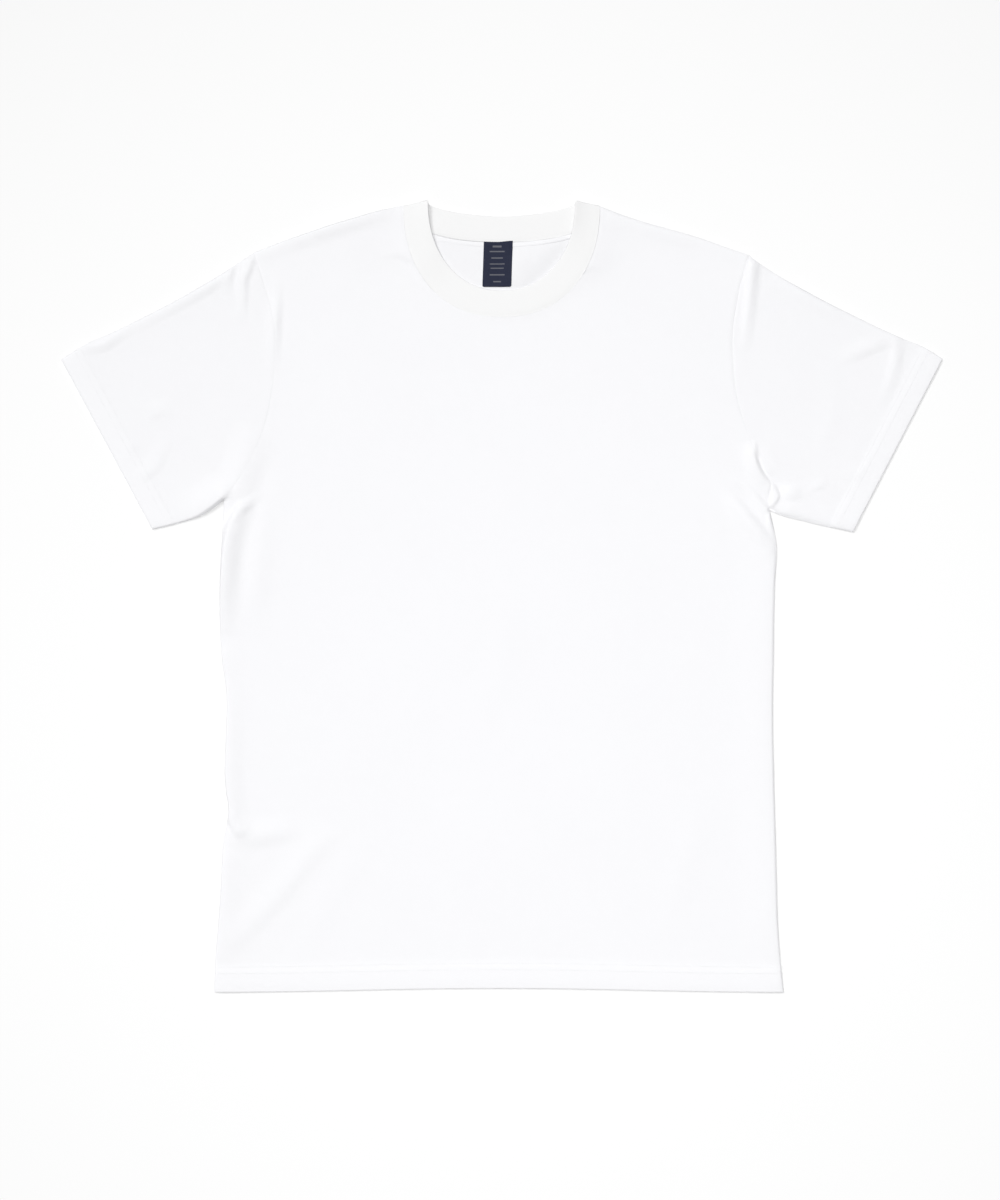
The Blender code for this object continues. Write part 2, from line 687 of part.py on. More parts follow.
def label_mesh(bm):
    """The label: over the tape at its upper end, then down on the back."""
    sections = []
    for row in LABEL_SECTIONS:
        share = (LABEL_SECTIONS[0].y - row.y) / (LABEL_SECTIONS[0].y - LABEL_SECTIONS[-1].y)
        middle = LABEL_X - LABEL_LEAN * share
        left, right = (Vector((middle + side * LABEL_WIDTH / 2, row.y)) for side in (-1, 1))
        top = row.underside + LABEL_WALL
        sections.append([(left, row.underside), (right, row.underside), (right, top), (left, top)])
    strip_mesh(bm, sections)


def strip_mesh(bm, sections):
    """A closed strip through four-cornered sections of (place, height)."""
    rings = [[bm.verts.new((spot.x * MM, spot.y * MM, height * MM)) for spot, height in section]
             for section in sections]
    for ring, following in zip(rings, rings[1:]):
        for k in range(4):
            after = (k + 1) % 4
            bm.faces.new((ring[k], ring[after], following[after], following[k]))
    bm.faces.new(rings[0])
    bm.faces.new(rings[-1])


# ---------------------------------------------------------------- objects

def cloth_material(name, colour, roughness):
    """A plain matt cloth."""
    material = bpy.data.materials.new(name)
    material.use_nodes = True
    shader = material.node_tree.nodes["Principled BSDF"]
    shader.inputs["Base Color"].default_value = (*colour, 1.0)
    shader.inputs["Roughness"].default_value = roughness
    shader.inputs["Metallic"].default_value = 0.0
    return material


def add_piece(name, parent, material, build):
    """An object whose mesh the build function fills, with its faces pointing out."""
    bm = bmesh.new()
    build(bm)
    bmesh.ops.triangulate(bm, faces=bm.faces)
    bmesh.ops.recalc_face_normals(bm, faces=bm.faces)
    mesh = bpy.data.meshes.new(name)
    bm.to_mesh(mesh)
    bm.free()
    mesh.materials.append(material)
    piece = bpy.data.objects.new(name, mesh)
    piece.parent = parent
    bpy.context.scene.collection.objects.link(piece)
    return piece


def main():
    """Builds the shirt."""
    for old in list(bpy.data.objects):
        bpy.data.objects.remove(old)
    shirt = bpy.data.objects.new("crew_neck_tshirt", None)
    bpy.context.scene.collection.objects.link(shirt)
    jersey = cloth_material("white_jersey", WHITE_COTTON, 0.9)
    rib = cloth_material("white_rib", WHITE_COTTON, 0.92)
    tape = cloth_material("white_tape", WHITE_COTTON, 0.88)
    satin = cloth_material("navy_satin", NAVY_SATIN, 0.55)

    front = body_outline(FRONT_NECK_DROP, FRONT_NECK_POWER)
    back = body_outline(BACK_NECK_DROP, BACK_NECK_POWER)
    add_piece("front_body", shirt, jersey, lambda bm: panel_mesh(bm, front, True, FRONT_SEAM_Z))
    add_piece("back_body", shirt, jersey, lambda bm: panel_mesh(bm, back, False, BACK_TOP))
    for side, name in ((-1, "sleeve_left"), (1, "sleeve_right")):
        outline = sleeve_outline(side)
        add_piece(name, shirt, jersey, lambda bm, o=outline: tube_mesh(bm, o, SLEEVE_SEAM_Z))
    add_piece("collar", shirt, rib, collar_mesh)
    add_piece("neck_tape", shirt, tape, tape_mesh)
    add_piece("neck_label", shirt, satin, label_mesh)


main()
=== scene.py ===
"""Dresses the laid-out crew neck T-shirt: jersey panels, sleeves, rib collar, tape, label and stitches.

Every piece is a thin shell on the form of its solid. The tables are in millimetres and in the frame's own
axes: +X to the right, +Y from the hem to the collar and +Z up. The meshes are in metres.
"""

import logging
import math
from dataclasses import dataclass, field
from enum import Enum
from typing import Callable, Iterable, Sequence

import bmesh
import bpy
import numpy as np
from mathutils import Matrix, Vector


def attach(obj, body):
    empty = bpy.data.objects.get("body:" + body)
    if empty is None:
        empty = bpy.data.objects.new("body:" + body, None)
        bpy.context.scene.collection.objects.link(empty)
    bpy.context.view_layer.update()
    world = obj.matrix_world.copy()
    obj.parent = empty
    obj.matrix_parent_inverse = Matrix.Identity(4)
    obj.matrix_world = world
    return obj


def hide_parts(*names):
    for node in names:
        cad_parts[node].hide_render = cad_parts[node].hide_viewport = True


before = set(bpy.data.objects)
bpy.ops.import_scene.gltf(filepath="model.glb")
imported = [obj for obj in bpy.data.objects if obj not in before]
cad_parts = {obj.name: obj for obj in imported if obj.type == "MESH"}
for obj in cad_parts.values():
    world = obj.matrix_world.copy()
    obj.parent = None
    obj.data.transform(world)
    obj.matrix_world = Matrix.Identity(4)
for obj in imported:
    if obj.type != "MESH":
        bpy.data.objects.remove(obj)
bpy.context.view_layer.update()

MM = 0.001
CREST_STEP = 3.0
PINCH_POWER = 1.8
log = logging.getLogger("tshirt")

Array = np.ndarray
Spots = Sequence[tuple[float, float]]
Colour = tuple[float, float, float]
Mesh = bmesh.types.BMesh
Verts = Sequence[bmesh.types.BMVert]
Socket = bpy.types.NodeSocket


class Side(Enum):
    """The viewer's left and right of the laid-out shirt."""

    LEFT = -1
    RIGHT = 1


class Layer(Enum):
    """The two layers of the laid-out shirt."""

    UPPER = "upper"
    LOWER = "lower"


# ---------------------------------------------------------------- lines

def unit(runs: Array) -> Array:
    """Directions of length 1, one to a row."""
    return runs / np.hypot(*runs.T)[:, None]


def left_of(runs: Array) -> Array:
    """Directions turned a quarter to their left."""
    return np.column_stack([-runs[:, 1], runs[:, 0]])


def smoothstep(low: float, high: float, value: Array) -> Array:
    """0 below low, 1 above high and an S curve between."""
    t = np.clip((value - low) / (high - low), 0.0, 1.0)
    return t * t * (3 - 2 * t)


def quarter_round(share: Array) -> Array:
    """The rise of a quarter circle: 0 at its edge and 1 from a share of 1 on."""
    return np.sqrt(1.0 - (1.0 - np.clip(share, 0.0, 1.0)) ** 2)


def catmull_rom(spots: Sequence[Sequence[float]], step: float) -> Array:
    """The points of a Catmull-Rom curve.

    Args:
        spots: What it passes, in order: x and y, and any further values that run along with them.
        step: About how far apart the points lie.

    Returns:
        The points, one to a row.
    """
    knots = np.asarray(spots, float)
    padded = np.vstack([2 * knots[0] - knots[1], knots, 2 * knots[-1] - knots[-2]])
    made = []
    for a, b, c, d in zip(padded, padded[1:], padded[2:], padded[3:]):
        count = max(2, round(math.hypot(*(c - b)[:2]) / step))
        t = (np.arange(count) / count)[:, None]
        made.append(0.5 * (2 * b + (c - a) * t + (2 * a - 5 * b + 4 * c - d) * t ** 2
                           + (3 * b - a - 3 * c + d) * t ** 3))
    return np.vstack([*made, knots[-1:]])


class Line:
    """A line in the plane of the shirt, in millimetres."""

    def __init__(self, points: Array | Spots) -> None:
        """Keeps the points and their running lengths.

        Args:
            points: The points, one to a row.
        """
        self.points = np.asarray(points, float)
        steps = np.hypot(*np.diff(self.points, axis=0).T)
        self.running = np.concatenate(([0.0], np.cumsum(steps)))

    @classmethod
    def through(cls, spots: Spots, step: float = 2.0) -> "Line":
        """A smooth line through spots, with points about a step apart."""
        return cls(catmull_rom(spots, step))

    @property
    def length(self) -> float:
        """The whole length of the line."""
        return float(self.running[-1])

    def at(self, lengths: Array) -> Array:
        """The points of the line at running lengths."""
        return np.column_stack([np.interp(lengths, self.running, self.points[:, k]) for k in (0, 1)])

    def run(self, lengths: Array, reach: float) -> Array:
        """The line's direction at running lengths, taken over a reach to both sides."""
        return unit(self.at(lengths + reach) - self.at(lengths - reach))

    def every(self, step: float) -> "Line":
        """The same line with points about a step apart."""
        return Line(self.at(np.linspace(0.0, self.length, max(1, round(self.length / step)) + 1)))

    def back(self) -> "Line":
        """The line from its far end to its near one."""
        return Line(self.points[::-1])

    def moved(self, distance: float) -> "Line":
        """The line moved to its left by a distance."""
        return Line(self.points + left_of(unit(np.gradient(self.points, axis=0))) * distance)

    def followed_by(self, other: "Line") -> "Line":
        """This line and then another one that starts where it ends."""
        return Line(np.vstack([self.points, other.points[1:]]))

    def nearest(self, points: Array, reach: float = math.inf) -> tuple[Array, Array, Array]:
        """How points lie to the line.

        Args:
            points: The points, one to a row.
            reach: Beyond this distance the answer is not worked out.

        Returns:
            The distances, the running lengths of the nearest places and the side: 1 to the line's left, -1 to
            its right and between them beyond its ends.
        """
        gap = np.full(len(points), np.inf)
        along, side = np.zeros(len(points)), np.ones(len(points))
        low, high = self.points.min(0) - reach, self.points.max(0) + reach
        near = np.flatnonzero(((points >= low) & (points <= high)).all(1))
        if not len(near):
            return gap, along, side
        close, best = points[near], np.full(len(near), np.inf)
        place, turn = np.zeros(len(near)), np.ones(len(near))
        for start, end, done in zip(self.points, self.points[1:], self.running):
            run = end - start
            length = math.hypot(*run)
            if length < 1e-9:
                continue
            offset = close - start
            share = np.clip(offset @ run / length ** 2, 0.0, 1.0)
            square = ((offset - share[:, None] * run) ** 2).sum(1)
            closer = square < best
            best[closer] = square[closer]
            place[closer] = done + share[closer] * length
            cross = (run[0] * offset[closer, 1] - run[1] * offset[closer, 0]) / length
            turn[closer] = cross / np.maximum(np.sqrt(square[closer]), 1e-6)
        gap[near], along[near], side[near] = np.sqrt(best), place, turn
        return gap, along, side

    def distance(self, points: Array, reach: float = math.inf) -> Array:
        """The distances of points from the line, without end beyond the reach."""
        return self.nearest(points, reach)[0]


def superellipse(half: float, drop: float, power: float, top: float) -> Line:
    """The lower half of a superellipse, from its left end to its right one.

    Args:
        half: Half its width.
        drop: How far it hangs below its ends.
        power: 2 for an ellipse, more for a fuller curve.
        top: The height of its ends.

    Returns:
        The line.
    """
    angle = np.linspace(0.0, math.pi, 401)
    x = -np.sign(np.cos(angle)) * np.abs(np.cos(angle)) ** (2 / power) * half
    y = top - np.clip(np.sin(angle), 0.0, 1.0) ** (2 / power) * drop
    y[[0, -1]] = top
    return Line(np.column_stack([x, y]))


# ---------------------------------------------------------------- creases

@dataclass(frozen=True)
class Crease:
    """A ridge or a trough along a given line, which is drawn upwards or to the right.

    Attributes:
        spots: Its crest as x, y and height, below 0 for a trough.
        lit: How far it reaches to the left of its line, the side of the key light.
        shaded: How far it reaches to the right of its line.
        sharp: 0 for a soft crest, 1 for a pinched one.
    """

    spots: tuple[tuple[float, float, float], ...]
    lit: float
    shaded: float
    sharp: float = 0.0

    def crest(self) -> Array:
        """Close points of its crest, as x, y and height."""
        return catmull_rom(self.spots, CREST_STEP)

    def lift(self, points: Array) -> Array:
        """How far the crease lifts the cloth.

        Args:
            points: Places in the plane, one to a row.

        Returns:
            The lift at each place.
        """
        crest = self.crest()
        line = Line(crest[:, :2])
        gap, along, side = line.nearest(points, max(self.lit, self.shaded))
        reach = self.shaded + (self.lit - self.shaded) * (0.5 + 0.5 * side)
        inner = np.clip(1.0 - gap / reach, 0.0, 1.0)
        soft, pinched = np.sin(inner * math.pi / 2) ** 2, inner ** PINCH_POWER
        height = np.interp(along, line.running, crest[:, 2])
        return height * (soft * (1 - self.sharp) + pinched * self.sharp)

    def steep(self, points: Array, broad: float) -> Array:
        """Where a net needs closer cells for it.

        Args:
            points: Places in the plane, one to a row.
            broad: A crease whose sides are both broader needs none.

        Returns:
            Whether each place lies on the crest or a steep side.
        """
        narrower, wider = sorted((self.lit, self.shaded))
        if narrower >= broad:
            return np.zeros(len(points), bool)
        # Over the crest and down its narrower side, but not all over a long one
        reach = min(wider, 1.4 * narrower + 3.0, 12.0) + 1.0
        return Line(self.crest()[:, :2]).distance(points, reach) < reach


@dataclass(frozen=True)
class Swell:
    """A broad soft rise of the cloth, as a turned oval hill.

    Attributes:
        x: Its middle across the shirt.
        y: Its middle up the shirt.
        long: Its reach along its own length.
        wide: Its reach across that.
        turn: The angle from +X to its length, in degrees.
        height: Its height.
    """

    x: float
    y: float
    long: float
    wide: float
    turn: float
    height: float

    def lift(self, points: Array) -> Array:
        """How far the swell lifts the cloth.

        Args:
            points: Places in the plane, one to a row.

        Returns:
            The lift at each place.
        """
        c, s = math.cos(math.radians(self.turn)), math.sin(math.radians(self.turn))
        dx, dy = points[:, 0] - self.x, points[:, 1] - self.y
        u, v = (dx * c + dy * s) / self.long, (dy * c - dx * s) / self.wide
        return self.height * np.exp(-(u * u + v * v))


CREASES: tuple[Crease, ...] = (
    # Drag across the lower left and the nick above it
    Crease(((-259, -333, 0.3), (-249, -323, 0.8), (-232, -304, 0.95), (-209, -281, 1.0), (-184, -249, 0.9),
            (-165, -227, 0.6), (-157, -216, 0.0)), 22, 14),
    Crease(((-243, -227, 0.8), (-225, -225, 1.5), (-208, -222, 1.0), (-192, -219, 0.2)), 20, 13),
    # Slack rolls along the left side
    Crease(((-250, -219, 2.2), (-255.5, -206, 2.6), (-258.5, -180, 2.2), (-259, -160, 2.0),
            (-258.2, -129, 1.6), (-257.5, -94, 1.0), (-261, -58, 0.7)), 5, 20),
    Crease(((-267, -334, 0.3), (-265.5, -312, 1.2), (-263.5, -280, 1.3), (-262, -250, 1.1),
            (-260, -236, 0.3)), 5, 24),
    # Left underarm
    Crease(((-264, -26, 1.2), (-263.3, -6, 3.0), (-262.2, 16, 4.6), (-260, 44, 5.2), (-255, 66, 4.6),
            (-247.5, 82, 3.0)), 6, 20),
    Crease(((-237, -20, 0.0), (-231, 6, 0.4), (-227, 34, 0.3), (-223, 53, 0.1)), 14, 18),
    Crease(((-249, 98, 3.0), (-243, 119, 3.0), (-239, 136, 2.2), (-235, 150, 1.4), (-231, 161, 0.0)),
            24, 25),
    Crease(((-250, 74, 0.8), (-240, 85, 1.2), (-230, 93, 0.4)), 7, 7),
    Crease(((-312, 69, 0.2), (-290, 75, 1.4), (-275, 83.5, 3.6), (-264, 92, 3.6)), 28, 4),
    # Left sleeve head
    Crease(((-259, 283, 0.0), (-257.5, 294, 0.8), (-254.5, 308, 1.6)), 8, 6),
    Crease(((-243, 262, 0.2), (-242.5, 280, 1.3), (-242, 297, 1.8), (-238.5, 306, 1.8), (-236, 314, 1.6)),
            9, 6),
    Crease(((-214, 206, 0.1), (-213.5, 228, 0.8), (-213, 250, 1.9), (-212, 268, 1.7), (-211, 284, 0.7),
            (-210, 300, 0.2)), 11, 8),
    # Left shoulder, its seam turned to the front
    Crease(((-226, 323, 0.8), (-200, 333.5, 1.4), (-167, 345, 2.5), (-136, 354.5, 2.5), (-116, 360, 1.4),
            (-101, 363.5, 0.1)), 4, 14),
    # Right shoulder
    Crease(((106, 358, 0.6), (137, 348.5, 1.1), (160, 342.3, 1.1), (183, 335.8, 0.9), (205, 328, 0.8),
            (228, 319.5, 0.5)), 4, 15),
    Crease(((112, 354, 0.4), (140, 346, 0.6), (170, 337, 0.3)), 5, 24),
    # Left sleeve's folded top
    Crease(((-389.5, 234, 0.8), (-374, 237, 1.6), (-364, 243.5, 1.3), (-347.5, 253, 0.5),
            (-328.5, 262.3, 0.7), (-308.5, 273, 1.2), (-294.5, 280.5, 1.4), (-277.5, 290.3, 1.7),
            (-266.5, 297, 1.3), (-257, 303, 0.4)), 6, 9.5),
    # Right sleeve head and folded top
    Crease(((227, 230, 0.0), (229, 246, 0.8), (231, 266, 1.6), (233, 287, 2.1), (235, 310, 2.6)), 7, 10),
    Crease(((262, 298, 0.6), (282, 286.5, 1.6), (306, 273.8, 1.5), (330, 262, 0.9), (352, 251.5, 0.8),
            (376, 241, 0.4)), 4, 17),
    # Right underarm: the puffs beside the sunk seam, the small twist at its foot and the drags from it
    Crease(((249.5, 105, 0.4), (244, 113, 1.4), (239.5, 122, 2.1), (237, 132, 2.1), (237, 140, 1.2),
            (236, 147, 0.0)), 14, 5),
    Crease(((262, 110, 0.2), (257, 118, 0.3), (253, 128, 0.4), (250, 138, 0.3), (247, 150, 0.0)), 9, 12),
    Crease(((255, 86, 0.2), (257.7, 95, 0.35), (255.8, 105, 0.2)), 6, 4),
    Crease(((250.5, 80, -0.9), (256.5, 85, -1.15), (262.2, 93, -1.15), (259, 102, -1.15),
            (252.4, 110, -1.0), (249, 114, -0.2)), 2.3, 15.0, 0.2),
    Crease(((253.5, 60, 0.1), (252.6, 67, 0.7), (251.5, 74, 1.6), (250, 80, 1.4)), 5, 4),
    Crease(((260, 95.5, 0.3), (270, 95.5, 1.5), (283, 97, 0.2)), 14, 9),
    Crease(((288, 101, 0.0), (298, 104, 0.6), (308, 107, 0.0)), 8, 6),
    Crease(((230, 104, 0.2), (239, 94, 1.1), (247, 84, 1.1), (251, 78, 0.8)), 4, 9),
    Crease(((212, 95, 0.2), (222, 85, 1.4), (233, 72, 2.2), (242.5, 60, 2.0), (250, 47, 0.6)), 8, 15),
    Crease(((212, 113, 0.0), (226, 106, 0.6), (240, 98, 0.2)), 8, 7),
    Crease(((256, 84, 1.7), (264, 80, 1.6), (280, 76.5, 1.0), (304, 70.5, 0.8), (327, 65, 0.5)), 16, 5),
    # Right side's edge
    Crease(((260, -352, 0.3), (256.5, -300, 0.8), (255, -236, 0.9), (253, -165, 0.9), (252.2, -94, 0.9),
            (253, -22, 0.9), (254.4, 30, 0.9), (252, 66, 0.5)), 42, 5),
    # Right sleeve
    Crease(((318, 222, 0.2), (333, 228, 0.9), (349, 235, 1.0), (364, 240, 0.5)), 13, 9),
    Crease(((357, 184, 0.2), (366, 205, 0.7), (370, 222, 1.2), (371, 238, 1.0)), 9, 9),
    Crease(((318, 110, 0.0), (330, 114, 0.4), (342, 122, 0.0)), 9, 8),
    # Left sleeve
    Crease(((-354, 133, 0.0), (-346, 141, 0.4), (-338, 146, 0.0)), 12, 8),
    Crease(((-341, 110, 0.1), (-332, 116, 0.9), (-324, 124, 0.2)), 14, 8),
    Crease(((-333, 168, 0.1), (-323, 173, 0.7), (-309, 174, 0.1)), 14, 8),
    Crease(((-327, 112, 0.1), (-321, 130, 0.7), (-314, 147, 0.2)), 15, 9),
    # Pulls into the collar seam
    Crease(((-115, 320, 0.1), (-104, 322.5, 0.7), (-94, 322, 1.3), (-85, 318, 1.6), (-78, 310, 1.1),
            (-69, 295, 0.2)), 32, 8),
    Crease(((66, 297.5, 0.2), (73.5, 304.5, 1.3), (81, 308.5, 0.5), (94, 309.5, 0.1)), 5, 5),
)

BACK_CREASES: tuple[Crease, ...] = (
    Crease(((13, 291, 0.1), (23.5, 303, 1.3), (36.5, 319, 2.0), (51, 334, 1.4), (60, 342, 0.3)), 30, 17),
    Crease(((7, 288, 0.2), (9, 297, 1.7), (10, 310, 1.9), (10, 322, 1.2), (9, 334, 0.1)), 13, 26),
    Crease(((-236, -40, 0.0), (-232, 10, 0.5), (-226, 60, 0.6), (-214, 110, 0.2)), 16, 20),
    Crease(((196, 128, 0.1), (214, 96, 0.5), (228, 58, 0.2)), 16, 14),
    Crease(((-186, -330, 0.2), (-160, -282, 0.45), (-128, -232, 0.1)), 20, 22),
    Crease(((150, -306, 0.1), (172, -250, 0.4), (186, -190, 0.1)), 18, 24),
    Crease(((-24, -124, 0.1), (0, -60, 0.35), (12, 20, 0.1)), 26, 22),
    Crease(((-338, 186, 0.1), (-304, 156, 0.4), (-274, 128, 0.1)), 14, 16),
    Crease(((298, 128, 0.1), (310, 172, 0.4), (308, 218, 0.1)), 15, 14),
)

SWELLS: tuple[Swell, ...] = (
    Swell(-124, 344, 34, 26, 20, 1.3), Swell(-120, 180, 90, 46, 70, 0.45),
    Swell(40, 120, 120, 50, 100, 0.35), Swell(150, 220, 80, 40, 60, 0.4), Swell(-60, -60, 110, 60, 80, 0.4),
    Swell(120, -40, 100, 48, 110, 0.35), Swell(-150, -140, 80, 44, 95, 0.4),
    Swell(30, -220, 130, 50, 10, 0.35), Swell(170, -250, 90, 40, 150, 0.3),
    Swell(-60, 250, 60, 30, 20, 0.35), Swell(200, 60, 90, 30, 95, 0.4), Swell(-310, 200, 60, 36, 30, 0.5),
    Swell(-270, 150, 50, 30, 60, 0.4), Swell(310, 200, 60, 36, 150, 0.5), Swell(330, 130, 46, 30, 70, 0.4),
    Swell(270, 230, 50, 24, 110, 0.4),
)


# ---------------------------------------------------------------- the laid-out form

@dataclass(frozen=True)
class Cut:
    """The tables of the shirt's outline, which the solids share. Pairs are the left and the right side's.

    Attributes:
        sides: Place up the shirt, the left edge and the right edge of the body.
        armholes: Spots of the armhole seams, from the underarm to the shoulder.
        shoulders: Spots of the shoulder seams, from the sleeve towards the neck.
        shoulder_ends: Places up the shirt where those end.
        neck_clear: How far outside the neck point they end.
        sleeve_tops: Spots of the sleeves' folded tops, from the shoulder to the cuff.
        sleeve_unders: Spots of the sleeves' undersides, from the underarm to the cuff.
        hem_rise: How much higher the hem's middle lies than its ends.
        hem_depth: The depth of the turned-in hem.
        cuff_depth: The depth of the turned-in cuffs.
        neck_point_y: Place up the shirt where the neck seam meets the shoulders.
        rim_point_y: The same for the collar's rim.
        neck_half: Half the width of the neck seam.
        rim_half: Half the width of the collar's rim.
        front_neck: The drop and the power of the front neck seam's curve.
        front_rim: The same for the collar's front rim.
        back_neck: The same for the back neck seam.
        back_rim: The same for the collar's back rim.
    """

    sides: tuple[tuple[float, float, float], ...] = (
        (-371.9, -270, 264.7), (-343.8, -269.3, 261.8), (-308, -266.3, 259.2), (-272, -263.9, 258.2),
        (-236.6, -262.1, 257.3), (-203, -256.8, 256.4), (-184, -258.8, 255.8), (-165, -260.3, 255.4),
        (-129, -259.2, 254.6), (-94, -258.5, 254.5), (-58, -263, 255.2), (-22, -264.9, 255.6),
        (13.4, -264.9, 256.4), (48, -263.2, 258.0), (82, -261.5, 254.8),
    )
    armholes: tuple[Spots, Spots] = (
        ((-261.5, 90.0), (-243.0, 116.8), (-226.2, 151.6), (-216.8, 189.2), (-213.0, 236.2),
         (-215.8, 264.4), (-224.3, 295.4), (-232.8, 323.0)),
        ((251.6, 80.6), (250.2, 92.0), (252.8, 106.0), (246.0, 117.0), (235.3, 142.0), (221.2, 184.5),
         (217.2, 222.0), (216.8, 248.5), (223.0, 288.0), (232.5, 320.4)),
    )
    shoulders: tuple[Spots, Spots] = (
        ((-232.8, 323.0), (-208.4, 332.6), (-185.8, 340.4), (-163.2, 348.3), (-140.7, 354.9),
         (-118.1, 361.6)),
        ((232.5, 320.4), (205.3, 329.6), (182.7, 337.6), (160.1, 344.1), (137.6, 350.4), (115.0, 357.6)),
    )
    shoulder_ends: tuple[float, float] = (367.2, 366.0)
    neck_clear: float = 0.04
    sleeve_tops: tuple[Spots, Spots] = (
        ((-232.8, 323.0), (-253.5, 309.0), (-276.0, 295.2), (-298.6, 282.2), (-321.2, 270.0),
         (-343.7, 258.6), (-366.3, 247.6), (-390.0, 237.2), (-414.0, 222.6)),
        ((232.5, 320.4), (239.6, 314.4), (261.6, 300.0), (284.2, 287.6), (306.8, 275.4), (329.3, 264.2),
         (351.9, 253.2), (374.4, 243.0), (397.0, 233.6), (414.0, 223.0)),
    )
    sleeve_unders: tuple[Spots, Spots] = (
        ((-261.5, 90.0), (-268.5, 84.6), (-279.8, 77.0), (-291.1, 72.4), (-308.0, 67.6), (-328.2, 62.8)),
        ((251.6, 80.6), (264.0, 75.8), (278.0, 72.2), (304.0, 66.0), (329.8, 60.5)),
    )
    hem_rise: float = 3.6
    hem_depth: float = 23.5
    cuff_depth: float = 21.0
    neck_point_y: float = 365.6
    rim_point_y: float = 369.05
    neck_half: float = 92.3
    rim_half: float = 69.1
    front_neck: tuple[float, float] = (103.3, 2.2)
    front_rim: tuple[float, float] = (82.0, 2.1)
    back_neck: tuple[float, float] = (33.0, 2.2)
    back_rim: tuple[float, float] = (12.5, 1.6)

    def seam(self, shape: tuple[float, float]) -> Line:
        """The neck seam with a drop and a power, from the left to the right."""
        return superellipse(self.neck_half, *shape, self.neck_point_y)

    def rim(self, shape: tuple[float, float]) -> Line:
        """The collar's rim with a drop and a power, from the left to the right."""
        return superellipse(self.rim_half, *shape, self.rim_point_y)


